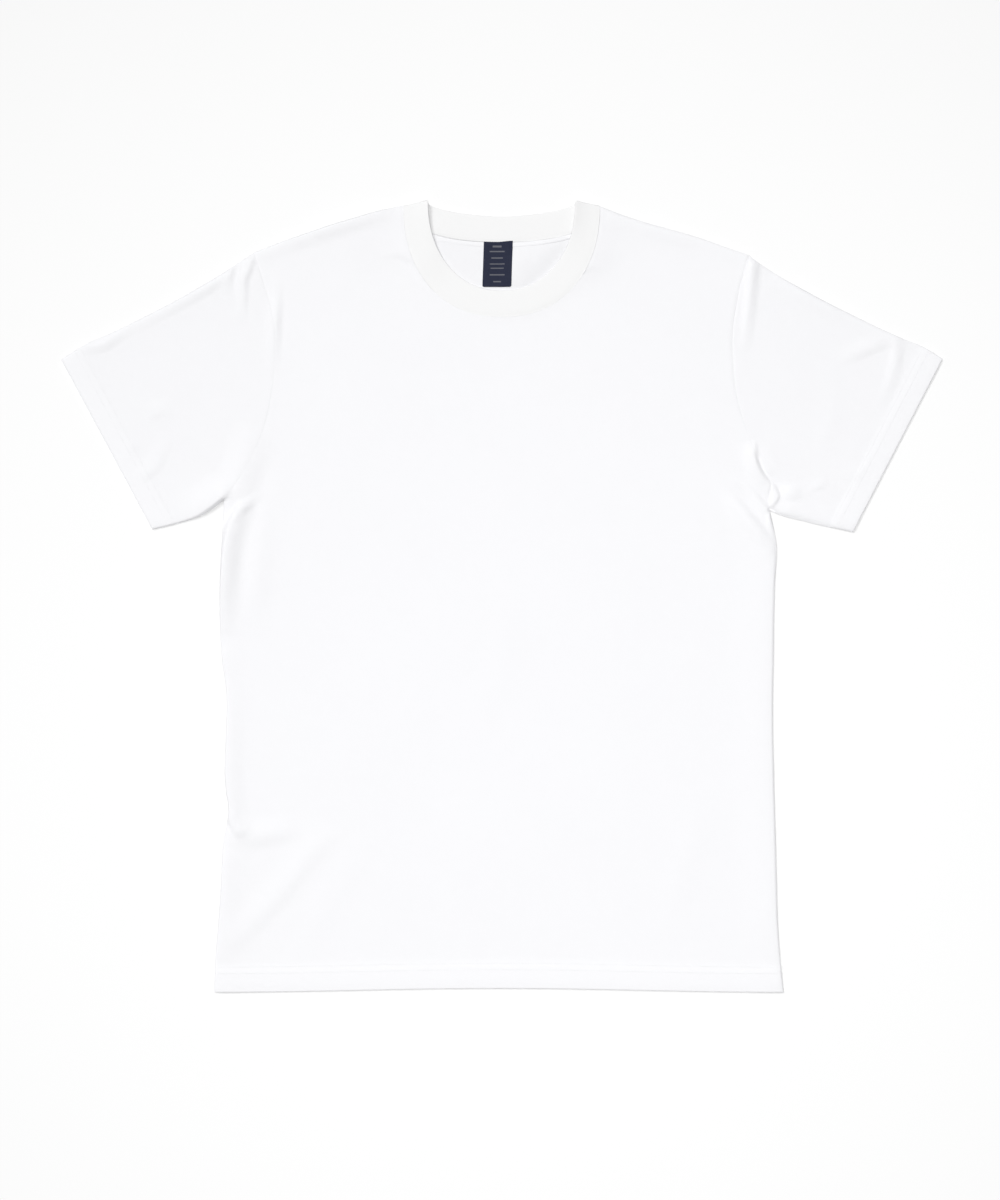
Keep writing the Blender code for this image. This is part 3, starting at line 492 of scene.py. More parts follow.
@dataclass
class LaidShirt:
    """Where the laid-out shirt's outlines and two layers lie. Pairs are the left and the right side's.

    Attributes:
        cut: The tables of its outline.
        cloth: The wall of one layer.
        hem_extra: What the turned-in layer adds to it.
        hem_slope: Half the width over which the turned-in layer ends.
        layer_gap: The air between the two layers.
        thinnest: What a seam leaves of the upper layer where it pulls it down.
        loft: How much fuller than flat the upper layer lies.
        loft_reach: How far from a folded edge that begins.
        edge_loft: How much fuller still it lies beside its folded edges.
        edge_loft_at: How far from a folded edge that is most.
        edge_round: The width of a folded edge's round.
        fold_z: The height of the folded edges.
        fold_blend: Half the width in the shirt's middle over which that changes.
        fold_lift: The share of a crease's height that a folded edge itself rises.
        far: From this distance on a folded edge has no effect.
        rolls: How far the upper layer's open edges roll down and over which width: hem and the two cuffs.
        seam_sinks: Place up the shirt, depth and width of the sunk armhole seams.
        seam_reach: From this distance on a sunk armhole seam has no effect.
        neck_sink: The depth and the width of the sunk neck seam.
        neck_roll: Places across, and how far the seam allowance lifts the body's edge there.
        neck_roll_wide: How far from the neck seam it does.
        neck_rises: How far, and over which width, the body rises to the collar's sides.
        neck_rise_from: The places up the shirt between which that starts.
        neck_reach: From this distance on it has no effect.
        back_edge: How far from the folded edges the lower layer's creases fade out.
    """

    cut: Cut
    cloth: float = 0.62
    hem_extra: float = 0.32
    hem_slope: float = 3.2
    layer_gap: float = 0.12
    thinnest: float = 0.3
    loft: float = 0.25
    loft_reach: float = 2.0
    edge_loft: float = 0.35
    edge_loft_at: float = 9.0
    edge_round: float = 1.5
    fold_z: tuple[float, float] = (0.38, 1.3)
    fold_blend: float = 60.0
    fold_lift: float = 0.4
    far: float = 70.0
    rolls: Spots = ((0.45, 9.0), (0.95, 2.4), (0.3, 4.0))
    seam_sinks: tuple[tuple[tuple[float, float, float], ...], ...] = (
        ((90, 0.16, 1.4), (120, 0.04, 1.4), (236, 0.04, 1.4), (250, 0.15, 1.4), (308, 0.2, 1.4)),
        ((79, 1.2, 3.4), (84, 0.7, 2.0), (90, 0.35, 1.3), (104, 0.4, 1.4), (116, 0.65, 2.2), (127, 0.6, 2.0),
         (137, 0.1, 1.4), (190, 0.26, 1.3), (206, 0.42, 1.3), (300, 0.42, 1.3)),
    )
    seam_reach: float = 12.0
    neck_sink: tuple[float, float] = (0.26, 1.8)
    neck_roll: tuple[Sequence[float], Sequence[float]] = ((-90, -50, 0, 60, 90), (0.15, 0.4, 0.75, 0.6, 0.4))
    neck_roll_wide: float = 6.5
    neck_rises: Spots = ((0.1, 9.0), (2.0, 18.0))
    neck_rise_from: tuple[float, float] = (280.0, 318.0)
    neck_reach: float = 45.0
    back_edge: float = 12.0

    def __post_init__(self) -> None:
        """Draws the outlines from the cut's tables."""
        cut = self.cut
        self.side = {side: Line.through([*((row[k + 1], row[0]) for row in rows), cut.armholes[k][0]])
                     for k, (side, rows) in enumerate(zip(Side, (cut.sides, cut.sides[:-1])))}
        self.armhole, self.sleeve_top, self.sleeve_under = (
            {side: Line.through(spots) for side, spots in zip(Side, pair)}
            for pair in (cut.armholes, cut.sleeve_tops, cut.sleeve_unders))
        self.shoulder = {side: Line.through([*spots, (side.value * (cut.neck_half + cut.neck_clear), end)])
                         for side, spots, end in zip(Side, cut.shoulders, cut.shoulder_ends)}
        self.cuff = {side: Line([self.sleeve_under[side].points[-1], self.sleeve_top[side].points[-1]])
                     for side in Side}
        low, left, right = cut.sides[0]
        share = np.linspace(0.0, 1.0, 61)
        self.hem = Line(np.column_stack([left + (right - left) * share,
                                         low + cut.hem_rise * np.sin(math.pi * share) ** 2]))
        folded = (self.side, self.shoulder, self.sleeve_top, self.sleeve_under)
        self.folds = [line.every(5.0) for group in folded for line in group.values()]
        self.turned_in = [(self.hem.every(10.0), cut.hem_depth),
                          *((line, cut.cuff_depth) for line in self.cuff.values())]

    def neck(self, shape: tuple[float, float], gap: float) -> Line:
        """The body's neck edge, from the left neck point to the right one.

        Args:
            shape: The drop and the power of its curve.
            gap: How far it keeps from the band.

        Returns:
            The line, which ends on the shoulders.
        """
        line = self.cut.seam(shape).moved(-gap)
        line.points[0] = self.shoulder[Side.LEFT].points[-1]
        line.points[-1] = self.shoulder[Side.RIGHT].points[-1]
        return Line(line.points)

    def fold_distance(self, points: Array) -> Array:
        """How far points lie from the nearest folded edge, at most the distance where it has no effect."""
        return np.minimum(self.far, np.min([line.distance(points, self.far) for line in self.folds], axis=0))

    def hem_share(self, points: Array) -> Array:
        """How far the cloth is doubled.

        Args:
            points: Places in the plane, one to a row.

        Returns:
            1 in the hem and the cuffs, 0 above them and a short slope between.
        """
        share = np.zeros(len(points))
        for line, depth in self.turned_in:
            away = line.distance(points, depth + 2 * self.hem_slope)
            share = np.maximum(share, smoothstep(depth + self.hem_slope, depth - self.hem_slope, away))
        return share

    def upper_outer(self, fold: Array, hem: Array) -> Array:
        """The height of the shirt's upper face away from its folded edges and creases.

        Args:
            fold: The distances of places from the nearest folded edge.
            hem: Their shares of the hems.

        Returns:
            The heights, which a folded edge still has to round off.
        """
        crest = fold / self.edge_loft_at
        rise = self.loft * (1 - np.exp(-fold / self.loft_reach)) + self.edge_loft * crest * np.exp(1 - crest)
        return 2 * self.cloth + self.layer_gap + 2 * self.hem_extra * hem + rise

    def fold_height(self, points: Array, lifts: Array) -> Array:
        """How high the folded edges stand.

        Args:
            points: Places in the plane, one to a row.
            lifts: How far creases lift the cloth there.

        Returns:
            The height of the nearby fold for each place.
        """
        left, right = self.fold_z
        flat = left + (right - left) * smoothstep(-self.fold_blend, self.fold_blend, points[:, 0])
        return flat + self.fold_lift * np.maximum(lifts, 0.0)

    def sunk(self, points: Array) -> Array:
        """How far the upper layer rolls down at its open edges and sinks at the armhole seams.

        Args:
            points: Places in the plane, one to a row.

        Returns:
            The depth at each place.
        """
        total = np.zeros(len(points))
        for line, (drop, reach) in zip((self.hem, *self.cuff.values()), self.rolls):
            total += drop * np.clip(1.0 - line.distance(points, reach) / reach, 0.0, 1.0) ** 2
        for line, sinks in zip(self.armhole.values(), self.seam_sinks):
            deep, wide = (np.interp(points[:, 1], *np.array(sinks).T[[0, k]]) for k in (1, 2))
            total += deep * np.exp(-(line.distance(points, self.seam_reach) / wide) ** 2)
        return total

    def front_lift(self, points: Array) -> Array:
        """How far creases, swells and the collar's sides lift the upper layer.

        Args:
            points: Places in the plane, one to a row.

        Returns:
            The lift at each place.
        """
        neck = self.neck(self.cut.front_neck, 0.0).distance(points, self.neck_reach)
        rise, wide = (np.where(points[:, 0] < 0, left, right) for left, right in zip(*self.neck_rises))
        collar = rise * smoothstep(*self.neck_rise_from, points[:, 1]) * np.exp(-(neck / wide) ** 2)
        return sum(item.lift(points) for item in (*CREASES, *SWELLS)) + collar

    def back_lift(self, points: Array, fold: Array) -> Array:
        """How far the lower layer's own creases lift it off the floor."""
        return sum(item.lift(points) for item in BACK_CREASES) * smoothstep(0.0, self.back_edge, fold)

    def upper(self, points: Array, wall: bool) -> Array:
        """The heights of the upper layer.

        Args:
            points: Places in the plane, one to a row.
            wall: Whether the inner face is asked for, not the outer one.

        Returns:
            The height at each place.
        """
        fold, hem = self.fold_distance(points), self.hem_share(points)
        back, front = self.back_lift(points, fold), self.front_lift(points)
        under = self.cloth + self.hem_extra * hem
        full = self.upper_outer(fold, hem) + back + front - self.sunk(points)
        full = np.maximum(full, under + back + self.thinnest)
        if wall:
            full = np.maximum(full - under, under + back + self.layer_gap / 2)
        edge = self.fold_height(points, front)
        return edge + (full - edge) * quarter_round(fold / self.edge_round)

    def lower(self, points: Array, wall: bool) -> Array:
        """The heights of the lower layer.

        Args:
            points: Places in the plane, one to a row.
            wall: Whether the inner face is asked for, not the underside.

        Returns:
            The height at each place.
        """
        fold = self.fold_distance(points)
        full = self.back_lift(points, fold)
        if wall:
            full = full + self.cloth + self.hem_extra * self.hem_share(points)
        edge = self.fold_height(points, self.front_lift(points))
        return edge + (full - edge) * quarter_round(fold / self.edge_round)


# ---------------------------------------------------------------- meshes

@dataclass
class Rim:
    """One side of a patch.

    Attributes:
        parts: The lines between its turns, each with the steps that it takes.
    """

    parts: list[tuple[Line, int]]

    def line(self) -> Line:
        """The parts as one line.

        Returns:
            The line.
        """
        whole = self.parts[0][0]
        for part, _ in self.parts[1:]:
            whole = whole.followed_by(part)
        return whole

    def count(self) -> int:
        """How many steps the side takes."""
        return sum(steps for _, steps in self.parts)

    def lengths(self, trim: float) -> Array:
        """Running lengths at the ends of all steps.

        Args:
            trim: What both ends of the side leave out.

        Returns:
            The lengths, in order.
        """
        marks, done = [], 0.0
        for k, (part, steps) in enumerate(self.parts):
            low = done + (trim if k == 0 else 0.0)
            high = done + part.length - (trim if k == len(self.parts) - 1 else 0.0)
            marks.append(np.linspace(low, high, steps + 1)[(0 if k == 0 else 1):])
            done += part.length
        return np.concatenate(marks)


@dataclass
class Patch:
    """A four-sided net of points over a piece of cloth, with close rows beside its edges.

    Attributes:
        bottom: The lower side, from left to right.
        top: The upper side, from left to right.
        left: The left side, from bottom to top.
        right: The right side, from bottom to top.
        rows: How far from each side its close rows lie.
        ease: How far from a corner a side's close rows swing towards the neighbouring side.
        swing: The reach over which a side's direction is taken.
        relaxing: How often the points between settle.
    """

    bottom: Rim
    top: Rim
    left: Rim
    right: Rim
    rows: tuple[float, ...] = (0.0, 0.15, 0.45, 0.95, 1.7, 2.7)
    ease: float = 14.0
    swing: float = 8.0
    relaxing: int = 120

    def __post_init__(self) -> None:
        """Joins each side's parts to one line."""
        self.lines = {name: getattr(self, name).line() for name in ("bottom", "top", "left", "right")}

    def net(self) -> Array:
        """The points of the net.

        Returns:
            An array of columns, rows and places.
        """
        close = len(self.rows) - 1
        across, up = self.bottom.count(), self.left.count()
        net = np.zeros((across + 1 + 2 * close, up + 1 + 2 * close, 2))
        span_x, span_y = slice(close, close + across + 1), slice(close, close + up + 1)
        edges = {name: self.edge(name, turn)
                 for name, turn in (("bottom", 1), ("top", -1), ("left", -1), ("right", 1))}
        for depth, row in enumerate(self.rows):
            for name, block in (("bottom", (span_x, depth)), ("top", (span_x, -1 - depth)),
                                ("left", (depth, span_y)), ("right", (-1 - depth, span_y))):
                start, inward = edges[name]
                net[block] = start + inward * row
        self.fill_corners(net)
        self.fill_core(net[close:-close or None, close:-close or None])
        return net

    def leaving(self, name: str, far: bool) -> Array:
        """The direction in which a side leaves its near or its far end."""
        line = self.lines[name].back() if far else self.lines[name]
        return unit(line.at(np.array([self.rows[-1]])) - line.points[0])[0]

    def edge(self, name: str, turn: int) -> tuple[Array, Array]:
        """The places and the inward directions of the steps along one side.

        Args:
            name: The side.
            turn: 1 where the patch lies to the left of it, -1 where it lies to the right.

        Returns:
            The places, and directions into the patch that swing to the neighbouring sides at the ends.
        """
        line, marks = self.lines[name], getattr(self, name).lengths(self.rows[-1])
        neighbours = ("left", "right") if name in ("bottom", "top") else ("bottom", "top")
        first, last = (self.leaving(neighbour, name in ("top", "right")) for neighbour in neighbours)
        near = smoothstep(self.ease, 0.0, marks)[:, None]
        far = smoothstep(self.ease, 0.0, line.length - marks)[:, None]
        normal = left_of(line.run(marks, self.swing)) * turn
        return line.at(marks), unit(normal * (1 - near - far) + first * near + last * far)

    def fill_corners(self, net: Array) -> None:
        """Fills the small blocks where two sides' close rows meet.

        Args:
            net: The net, whose close rows are in place.
        """
        close = len(self.rows) - 1
        rows = np.array(self.rows)
        for right, high in ((False, False), (True, False), (False, True), (True, True)):
            flat = self.lines["top" if high else "bottom"]
            tall = self.lines["right" if right else "left"]
            flat = flat.back() if right else flat
            tall = tall.back() if high else tall
            block = flat.at(rows)[:close, None] + tall.at(rows)[None, :close] - flat.points[0]
            columns = slice(-1, -1 - close, -1) if right else slice(0, close)
            net[columns, slice(-1, -1 - close, -1) if high else slice(0, close)] = block

    def fill_core(self, core: Array) -> None:
        """Fills the net inside its close rows and lets the points settle without folding over.

        Args:
            core: That part of the net, whose border is in place.
        """
        u = np.linspace(0, 1, core.shape[0])[:, None, None]
        v = np.linspace(0, 1, core.shape[1])[None, :, None]
        bottom, top, left, right = core[:, :1], core[:, -1:], core[:1], core[-1:]
        corners = ((1 - u) * (1 - v) * core[0, 0] + u * (1 - v) * core[-1, 0]
                   + (1 - u) * v * core[0, -1] + u * v * core[-1, -1])
        first = (1 - v) * bottom + v * top + (1 - u) * left + u * right - corners
        core[1:-1, 1:-1] = first[1:-1, 1:-1]
        for _ in range(self.relaxing):
            east, west, north, south = core[2:, 1:-1], core[:-2, 1:-1], core[1:-1, 2:], core[1:-1, :-2]
            across, up = (east - west) / 2, (north - south) / 2
            a, b, c = ((p * q).sum(-1, keepdims=True) for p, q in ((up, up), (across, up), (across, across)))
            twist = core[2:, 2:] - core[:-2, 2:] - core[2:, :-2] + core[:-2, :-2]
            core[1:-1, 1:-1] = (a * (east + west) + c * (north + south) - b * twist / 2) / (2 * (a + c))


def grid_verts(bm: Mesh, columns: int, rows: int) -> list[tuple[bmesh.types.BMVert, int, int]]:
    """Adds a grid of columns and rows, and gives its vertices, each with its column and its row."""
    made = bmesh.ops.create_grid(bm, x_segments=columns, y_segments=rows, size=1.0)["verts"]
    return [(vert, round((vert.co.x + 1) / 2 * columns), round((vert.co.y + 1) / 2 * rows)) for vert in made]


def add_net(bm: Mesh, net: Array) -> None:
    """Adds a grid whose points lie at a net's places, still flat."""
    for vert, column, row in grid_verts(bm, net.shape[0] - 1, net.shape[1] - 1):
        vert.co = (*net[column, row] * MM, 0.0)


def verts_in(geometry: Iterable[object]) -> list[bmesh.types.BMVert]:
    """The vertices in what an operator has made."""
    return [item for item in geometry if isinstance(item, bmesh.types.BMVert)]


def places(verts: Verts) -> Array:
    """The plan places of vertices, in millimetres."""
    return np.array([(vert.co.x, vert.co.y) for vert in verts]) / MM


def set_heights(verts: Verts, heights: Array) -> None:
    """Sets the heights of vertices, in millimetres."""
    for vert, height in zip(verts, heights):
        vert.co.z = height * MM


def refine(bm: Mesh, creases: Iterable[Crease], broad: float = 9.5, long: float = 5.5) -> None:
    """Halves the cells of a flat net along its narrower creases, and long edges.

    Args:
        bm: The net.
        creases: The creases on it.
        broad: Creases with both sides broader need no closer cells.
        long: Longer edges are halved.
    """
    middles = np.array([((e.verts[0].co + e.verts[1].co) / 2)[:2] for e in bm.edges]) / MM
    near = np.zeros(len(middles), bool)
    for crease in creases:
        near |= crease.steep(middles, broad)
    edges = [edge for edge, close in zip(bm.edges, near) if close]
    for _ in range(3):
        bmesh.ops.subdivide_edges(bm, edges=edges, cuts=1, use_grid_fill=True)
        edges = [edge for edge in bm.edges if edge.calc_length() > long * MM]


def finish_mesh(bm: Mesh, name: str, material: bpy.types.Material) -> bpy.types.Object:
    """Makes a smooth-shaded object of a mesh.

    Args:
        bm: The mesh, which is used up.
        name: The piece's name.
        material: Its finish.

    Returns:
        The object, at the origin.
    """
    bmesh.ops.recalc_face_normals(bm, faces=bm.faces)
    for face in bm.faces:
        face.smooth = True
    mesh = bpy.data.meshes.new(name)
    bm.to_mesh(mesh)
    bm.free()
    mesh.materials.append(material)
    return link(name, mesh)


def link(name: str, data: bpy.types.ID) -> bpy.types.Object:
    """Puts a mesh, a lamp or a camera in the scene.

    Args:
        name: The object's name.
        data: What it shows.

    Returns:
        The new object.
    """
    made = bpy.data.objects.new(name, data)
    bpy.context.scene.collection.objects.link(made)
    return made


def mark_doubled(piece: bpy.types.Object, shirt: LaidShirt) -> None:
    """Stores on a jersey piece how far its cloth is doubled at each vertex."""
    flat = np.array([vert.co[:2] for vert in piece.data.vertices]) / MM
    piece.data.attributes.new("doubled", "FLOAT", "POINT").data.foreach_set("value", shirt.hem_share(flat))


def rim_slack(distance: Array, wall: float, rounding: float = 0.75) -> Array:
    """How far each face of a cloth of a wall's thickness draws in at its cut or turned edge."""
    return wall / 2 * rounding * (1 - quarter_round(distance / (wall / 2)))


# ---------------------------------------------------------------- finishes

class Wiring:
    """Places and joins the nodes of one node tree."""

    def __init__(self, tree: bpy.types.NodeTree) -> None:
        """Keeps the tree."""
        self.tree = tree

    def node(self, kind: str, values: dict[str, object] | None = None, **settings: object) -> bpy.types.Node:
        """Adds a node.

        Args:
            kind: Its type, without the ShaderNode in front.
            values: Values, or sockets to join, for its inputs by name.
            settings: Its properties.

        Returns:
            The node.
        """
        made = self.tree.nodes.new(f"ShaderNode{kind}")
        for key, value in settings.items():
            setattr(made, key, value)
        self.feed(made, values or {})
        return made

    def feed(self, node: bpy.types.Node, values: dict[str, object]) -> None:
        """Joins sockets to a node's inputs, or sets the inputs' values."""
        for key, value in values.items():
            self.join(node.inputs[key], value)

    def join(self, socket: Socket, value: object) -> None:
        """Joins a socket to an input, or sets the input's value.

        Args:
            socket: The input.
            value: A socket, or a plain value.
        """
        if isinstance(value, Socket):
            self.tree.links.new(value, socket)
        else:
            socket.default_value = value

    def math(self, operation: str, *values: object) -> Socket:
        """The result of a math node.

        Args:
            operation: What it works out.
            values: Values, or sockets to join, for its inputs in order.

        Returns:
            Its output.
        """
        made = self.node("Math", operation=operation)
        for socket, value in zip(made.inputs, values):
            self.join(socket, value)
        return made.outputs[0]

    def noise(self, vector: Socket, scale: float, detail: float, rough: float) -> Socket:
        """The strength of a noise texture."""
        values = {"Vector": vector, "Scale": scale, "Detail": detail, "Roughness": rough}
        return self.node("TexNoise", values).outputs["Fac"]

    def mix(self, share: Socket, first: object, second: object) -> Socket:
        """Two colours mixed, with a share of the second."""
        values = {"Factor": share, "A": first, "B": second}
        return self.node("Mix", values, data_type="RGBA").outputs["Result"]

    def relief(self, height: Socket, depth: float) -> Socket:
        """The normal of a relief of a depth in metres."""
        return self.node("Bump", {"Height": height, "Distance": depth, "Strength": 1.0}).outputs["Normal"]


class GroupWiring(Wiring):
    """The wiring of a new shader group, between its inputs and its outputs."""

    def __init__(self, name: str, inputs: dict[str, object], outputs: Sequence[str]) -> None:
        """Makes the group with its sockets.

        Args:
            name: The group's name.
            inputs: The default value of each input by name: none for a vector, four numbers for a colour.
            outputs: The name of each output, a colour where it is Color and otherwise a number.
        """
        super().__init__(bpy.data.node_groups.new(name, "ShaderNodeTree"))
        for label, value in inputs.items():
            kind = "Float" if isinstance(value, float) else "Color" if value else "Vector"
            made = self.socket(label, "INPUT", kind)
            if value is not None:
                made.default_value = value
        for label in outputs:
            self.socket(label, "OUTPUT", "Color" if label == "Color" else "Float")
        self.given = self.tree.nodes.new("NodeGroupInput").outputs
        self.out = self.tree.nodes.new("NodeGroupOutput")

    def socket(self, label: str, in_out: str, kind: str) -> bpy.types.NodeTreeInterfaceSocket:
        """A new socket of the group."""
        return self.tree.interface.new_socket(name=label, in_out=in_out, socket_type=f"NodeSocket{kind}")


class MaterialWiring(Wiring):
    """The wiring of a new material, round its shader."""

    def __init__(self, name: str) -> None:
        """Makes the material.

        Args:
            name: Its name.
        """
        self.material = bpy.data.materials.new(name)
        self.material.use_nodes = True
        super().__init__(self.material.node_tree)

    def place(self) -> Socket:
        """The place on the object, in metres."""
        return self.node("TexCoord").outputs["Object"]

    def finish(self, values: dict[str, object]) -> bpy.types.Material:
        """The material, its shader's inputs fed with values or sockets."""
        self.feed(self.tree.nodes["Principled BSDF"], values)
        return self.material


def opaque(colour: Colour) -> tuple[float, float, float, float]:
    """A colour as a socket takes it."""
    return (*colour, 1.0)


@dataclass
class ClothGroups:
    """The effects that several cloths share, each built once.

    Attributes:
        fibre: The scale of the loose fibres' noise, per metre.
        broad: The scale of the cloth's broad unevenness, per metre.
        fine: The scale of its fine unevenness, per metre.
        broad_share: The share of the broad one in both.
        strength: How much of the darker colour they bring.
        lining: How much of that a second layer under the cloth hides.
    """

    fibre: float = 5200.0
    broad: float = 11.0
    fine: float = 240.0
    broad_share: float = 0.6
    strength: float = 0.8
    lining: float = 0.9

    def __post_init__(self) -> None:
        """Builds the groups."""
        self.knit = self.build_knit()
        self.mottle = self.build_mottle()

    def build_knit(self) -> bpy.types.NodeTree:
        """Plain knit: V-shaped loops in upright wales.

        Returns:
            The group, which puts out the relief's height and 1 on the loops to 0 between them.
        """
        w = GroupWiring("knit_loops", {"Vector": None, "Wale": 0.0008, "Course": 0.0006, "Fibre": 0.3},
                        ("Height", "Shade"))
        split = w.node("SeparateXYZ", {"Vector": w.given["Vector"]})
        across = w.math("DIVIDE", split.outputs["X"], w.given["Wale"])
        half = w.math("ABSOLUTE", w.math("SUBTRACT", w.math("FRACT", across), 0.5))
        up = w.math("DIVIDE", split.outputs["Y"], w.given["Course"])
        arch = w.math("SINE", w.math("MULTIPLY", w.math("FRACT", w.math("ADD", up, half)), math.pi))
        loop = w.math("MULTIPLY", arch, w.math("SINE", w.math("MULTIPLY", half, math.tau)))
        fibre = w.math("MULTIPLY", w.noise(w.given["Vector"], self.fibre, 2.0, 0.6), w.given["Fibre"])
        w.feed(w.out, {"Height": w.math("ADD", loop, fibre), "Shade": loop})
        return w.tree

    def build_mottle(self) -> bpy.types.NodeTree:
        """Two colours mixed by unevenness, with painted shade in the knit's hollows and the full colour where
        the cloth is doubled.

        Returns:
            The group, which puts out the colour and the share of the darker one.
        """
        w = GroupWiring("cloth_mottle", {"Vector": None, "Light": opaque((1.0, 1.0, 1.0)),
                                         "Dark": opaque((0.9, 0.9, 0.9)), "Shade": 0.5, "Depth": 0.2,
                                         "Doubled": 0.0}, ("Color", "Mask"))
        broad = w.noise(w.given["Vector"], self.broad, 2.0, 0.5)
        fine = w.noise(w.given["Vector"], self.fine, 3.0, 0.6)
        spread = w.math("ADD", w.math("MULTIPLY", broad, self.broad_share),
                        w.math("MULTIPLY", fine, 1.0 - self.broad_share))
        # Painted shade: the darker colour laid between the knit's loops, as deep as Depth
        hollow = w.math("MULTIPLY", w.math("SUBTRACT", 1.0, w.given["Shade"]), w.given["Depth"])
        uneven = w.math("MINIMUM", 1.0, w.math("ADD", w.math("MULTIPLY", spread, self.strength), hollow))
        single = w.math("SUBTRACT", 1.0, w.math("MULTIPLY", w.given["Doubled"], self.lining))
        mask = w.math("MULTIPLY", uneven, single)
        w.feed(w.out, {"Color": w.mix(mask, w.given["Light"], w.given["Dark"]), "Mask": mask})
        return w.tree


@dataclass(frozen=True)
class KnitFinish:
    """A knitted cotton.

    Attributes:
        name: The material's name.
        light: The colour of the full cloth.
        dark: The colour in its thinner places, and the painted shade in the knit's hollows.
        wale: The width of a column of loops, in metres.
        course: The height of a row of loops, in metres.
        depth: The depth of its relief, in metres.
        turn: How far the wales are turned from +Y, in degrees.
        roughness: The shader's mean roughness.
        rough_spread: By how much it differs over the cloth.
        sheen: The strength of the fibres' sheen.
        sheen_rough: The roughness of that sheen.
        gloss: The strength of the plain reflection.
    """

    name: str
    light: Colour
    dark: Colour
    wale: float = 0.0008
    course: float = 0.0006
    depth: float = 0.00008
    turn: float = 0.0
    roughness: float = 0.9
    rough_spread: float = 0.06
    sheen: float = 0.08
    sheen_rough: float = 0.5
    gloss: float = 0.2

    def material(self, groups: ClothGroups) -> bpy.types.Material:
        """The material, with its knit as relief, its colour a little uneven and painted shade in the knit's
        hollows.

        Args:
            groups: The effects that it uses.

        Returns:
            The material.
        """
        w = MaterialWiring(self.name)
        turned = {"Vector": w.place(), "Rotation": (0.0, 0.0, math.radians(-self.turn))}
        vector = w.node("Mapping", turned).outputs["Vector"]
        knit = w.node("Group", node_tree=groups.knit)
        w.feed(knit, {"Vector": vector, "Wale": self.wale, "Course": self.course})
        mottle = w.node("Group", node_tree=groups.mottle)
        w.feed(mottle, {"Vector": vector, "Light": opaque(self.light), "Dark": opaque(self.dark),
                        "Shade": knit.outputs["Shade"],
                        "Doubled": w.node("Attribute", attribute_name="doubled").outputs["Fac"]})
        rough = w.math("ADD", self.roughness - self.rough_spread / 2,
                       w.math("MULTIPLY", mottle.outputs["Mask"], self.rough_spread))
        normal = w.relief(knit.outputs["Height"], self.depth)
        return w.finish({"Base Color": mottle.outputs["Color"], "Roughness": rough, "Normal": normal,
                         "Sheen Weight": self.sheen, "Sheen Roughness": self.sheen_rough,
                         "Specular IOR Level": self.gloss})


@dataclass(frozen=True)
class SatinFinish:
    """The woven satin of the label: fine upright warp and plain light bars.

    Attributes:
        name: The material's name.
        ground: The colour of the full weave.
        slub: The colour in its hollows.
        bar: The colour of the bars.
        warp: From one warp thread to the next, in metres.
        weft: From one weft thread to the next, in metres.
        warp_share: The share of the warp in that relief.
        depth: The depth of its relief, in metres.
        slub_scale: The scale of the uneven yarn's noise, per metre.
        roughness: The shader's least roughness.
        rough_spread: By how much it differs over the satin.
        gloss: The strength of the plain reflection.
        middle: Where the bars' middles lie across the shirt, in millimetres.
        bars: Place up the shirt, half width and half thickness of each bar, in millimetres.
        bar_cover: How far a bar covers the ground where it is most worn, and how much more elsewhere.
    """

    name: str = "navy_satin"
    ground: Colour = (0.0115, 0.0155, 0.040)
    slub: Colour = (0.0065, 0.0095, 0.027)
    bar: Colour = (0.125, 0.128, 0.145)
    warp: float = 0.00028
    weft: float = 0.00045
    warp_share: float = 0.6
    depth: float = 0.00003
    slub_scale: float = 900.0
    roughness: float = 0.5
    rough_spread: float = 0.12
    gloss: float = 0.22
    middle: float = -4.3
    bars: tuple[tuple[float, float, float], ...] = (
        (328.6, 4.2, 0.9), (323.9, 7.0, 0.6), (317.8, 5.4, 0.6), (312.2, 7.0, 0.5), (308.2, 6.2, 0.5),
        (302.0, 7.0, 0.6), (295.6, 3.6, 0.6),
    )
    bar_cover: tuple[float, float] = (0.55, 0.6)

    def material(self) -> bpy.types.Material:
        """The material, with the weave as relief.

        Returns:
            The material.
        """
        w = MaterialWiring(self.name)
        place = w.place()
        x, y, _ = w.node("SeparateXYZ", {"Vector": place}).outputs
        warp = w.math("SINE", w.math("MULTIPLY", x, math.tau / self.warp))
        weft = w.math("SINE", w.math("MULTIPLY", y, math.tau / self.weft))
        weave = w.math("ADD", w.math("MULTIPLY", warp, self.warp_share),
                       w.math("MULTIPLY", weft, 1.0 - self.warp_share))
        slub = w.noise(place, self.slub_scale, 3.0, 0.6)
        cloth = w.mix(slub, opaque(self.ground), opaque(self.slub))
        return w.finish({"Base Color": w.mix(self.bar_mask(w, x, y, slub), cloth, opaque(self.bar)),
                         "Roughness": w.math("ADD", self.roughness,
                                             w.math("MULTIPLY", slub, self.rough_spread)),
                         "Normal": w.relief(weave, self.depth), "Specular IOR Level": self.gloss})

    def bar_mask(self, w: Wiring, x: Socket, y: Socket, worn: Socket) -> Socket:
        """Where the bars are.

        Args:
            w: The wiring of the material.
            x: The place across, in metres.
            y: The place up the shirt, in metres.
            worn: A noise that thins the bars.

        Returns:
            1 on a bar, less where it is worn, and 0 beside it.
        """
        least, more = self.bar_cover
        total: object = 0.0
        for height, half, thick in self.bars:
            inside = w.math("COMPARE", x, self.middle * MM, half * MM)
            level = w.math("COMPARE", y, height * MM, thick * MM)
            total = w.math("MAXIMUM", total, w.math("MULTIPLY", inside, level))
        return w.math("MULTIPLY", total, w.math("ADD", least, w.math("MULTIPLY", worn, more)))


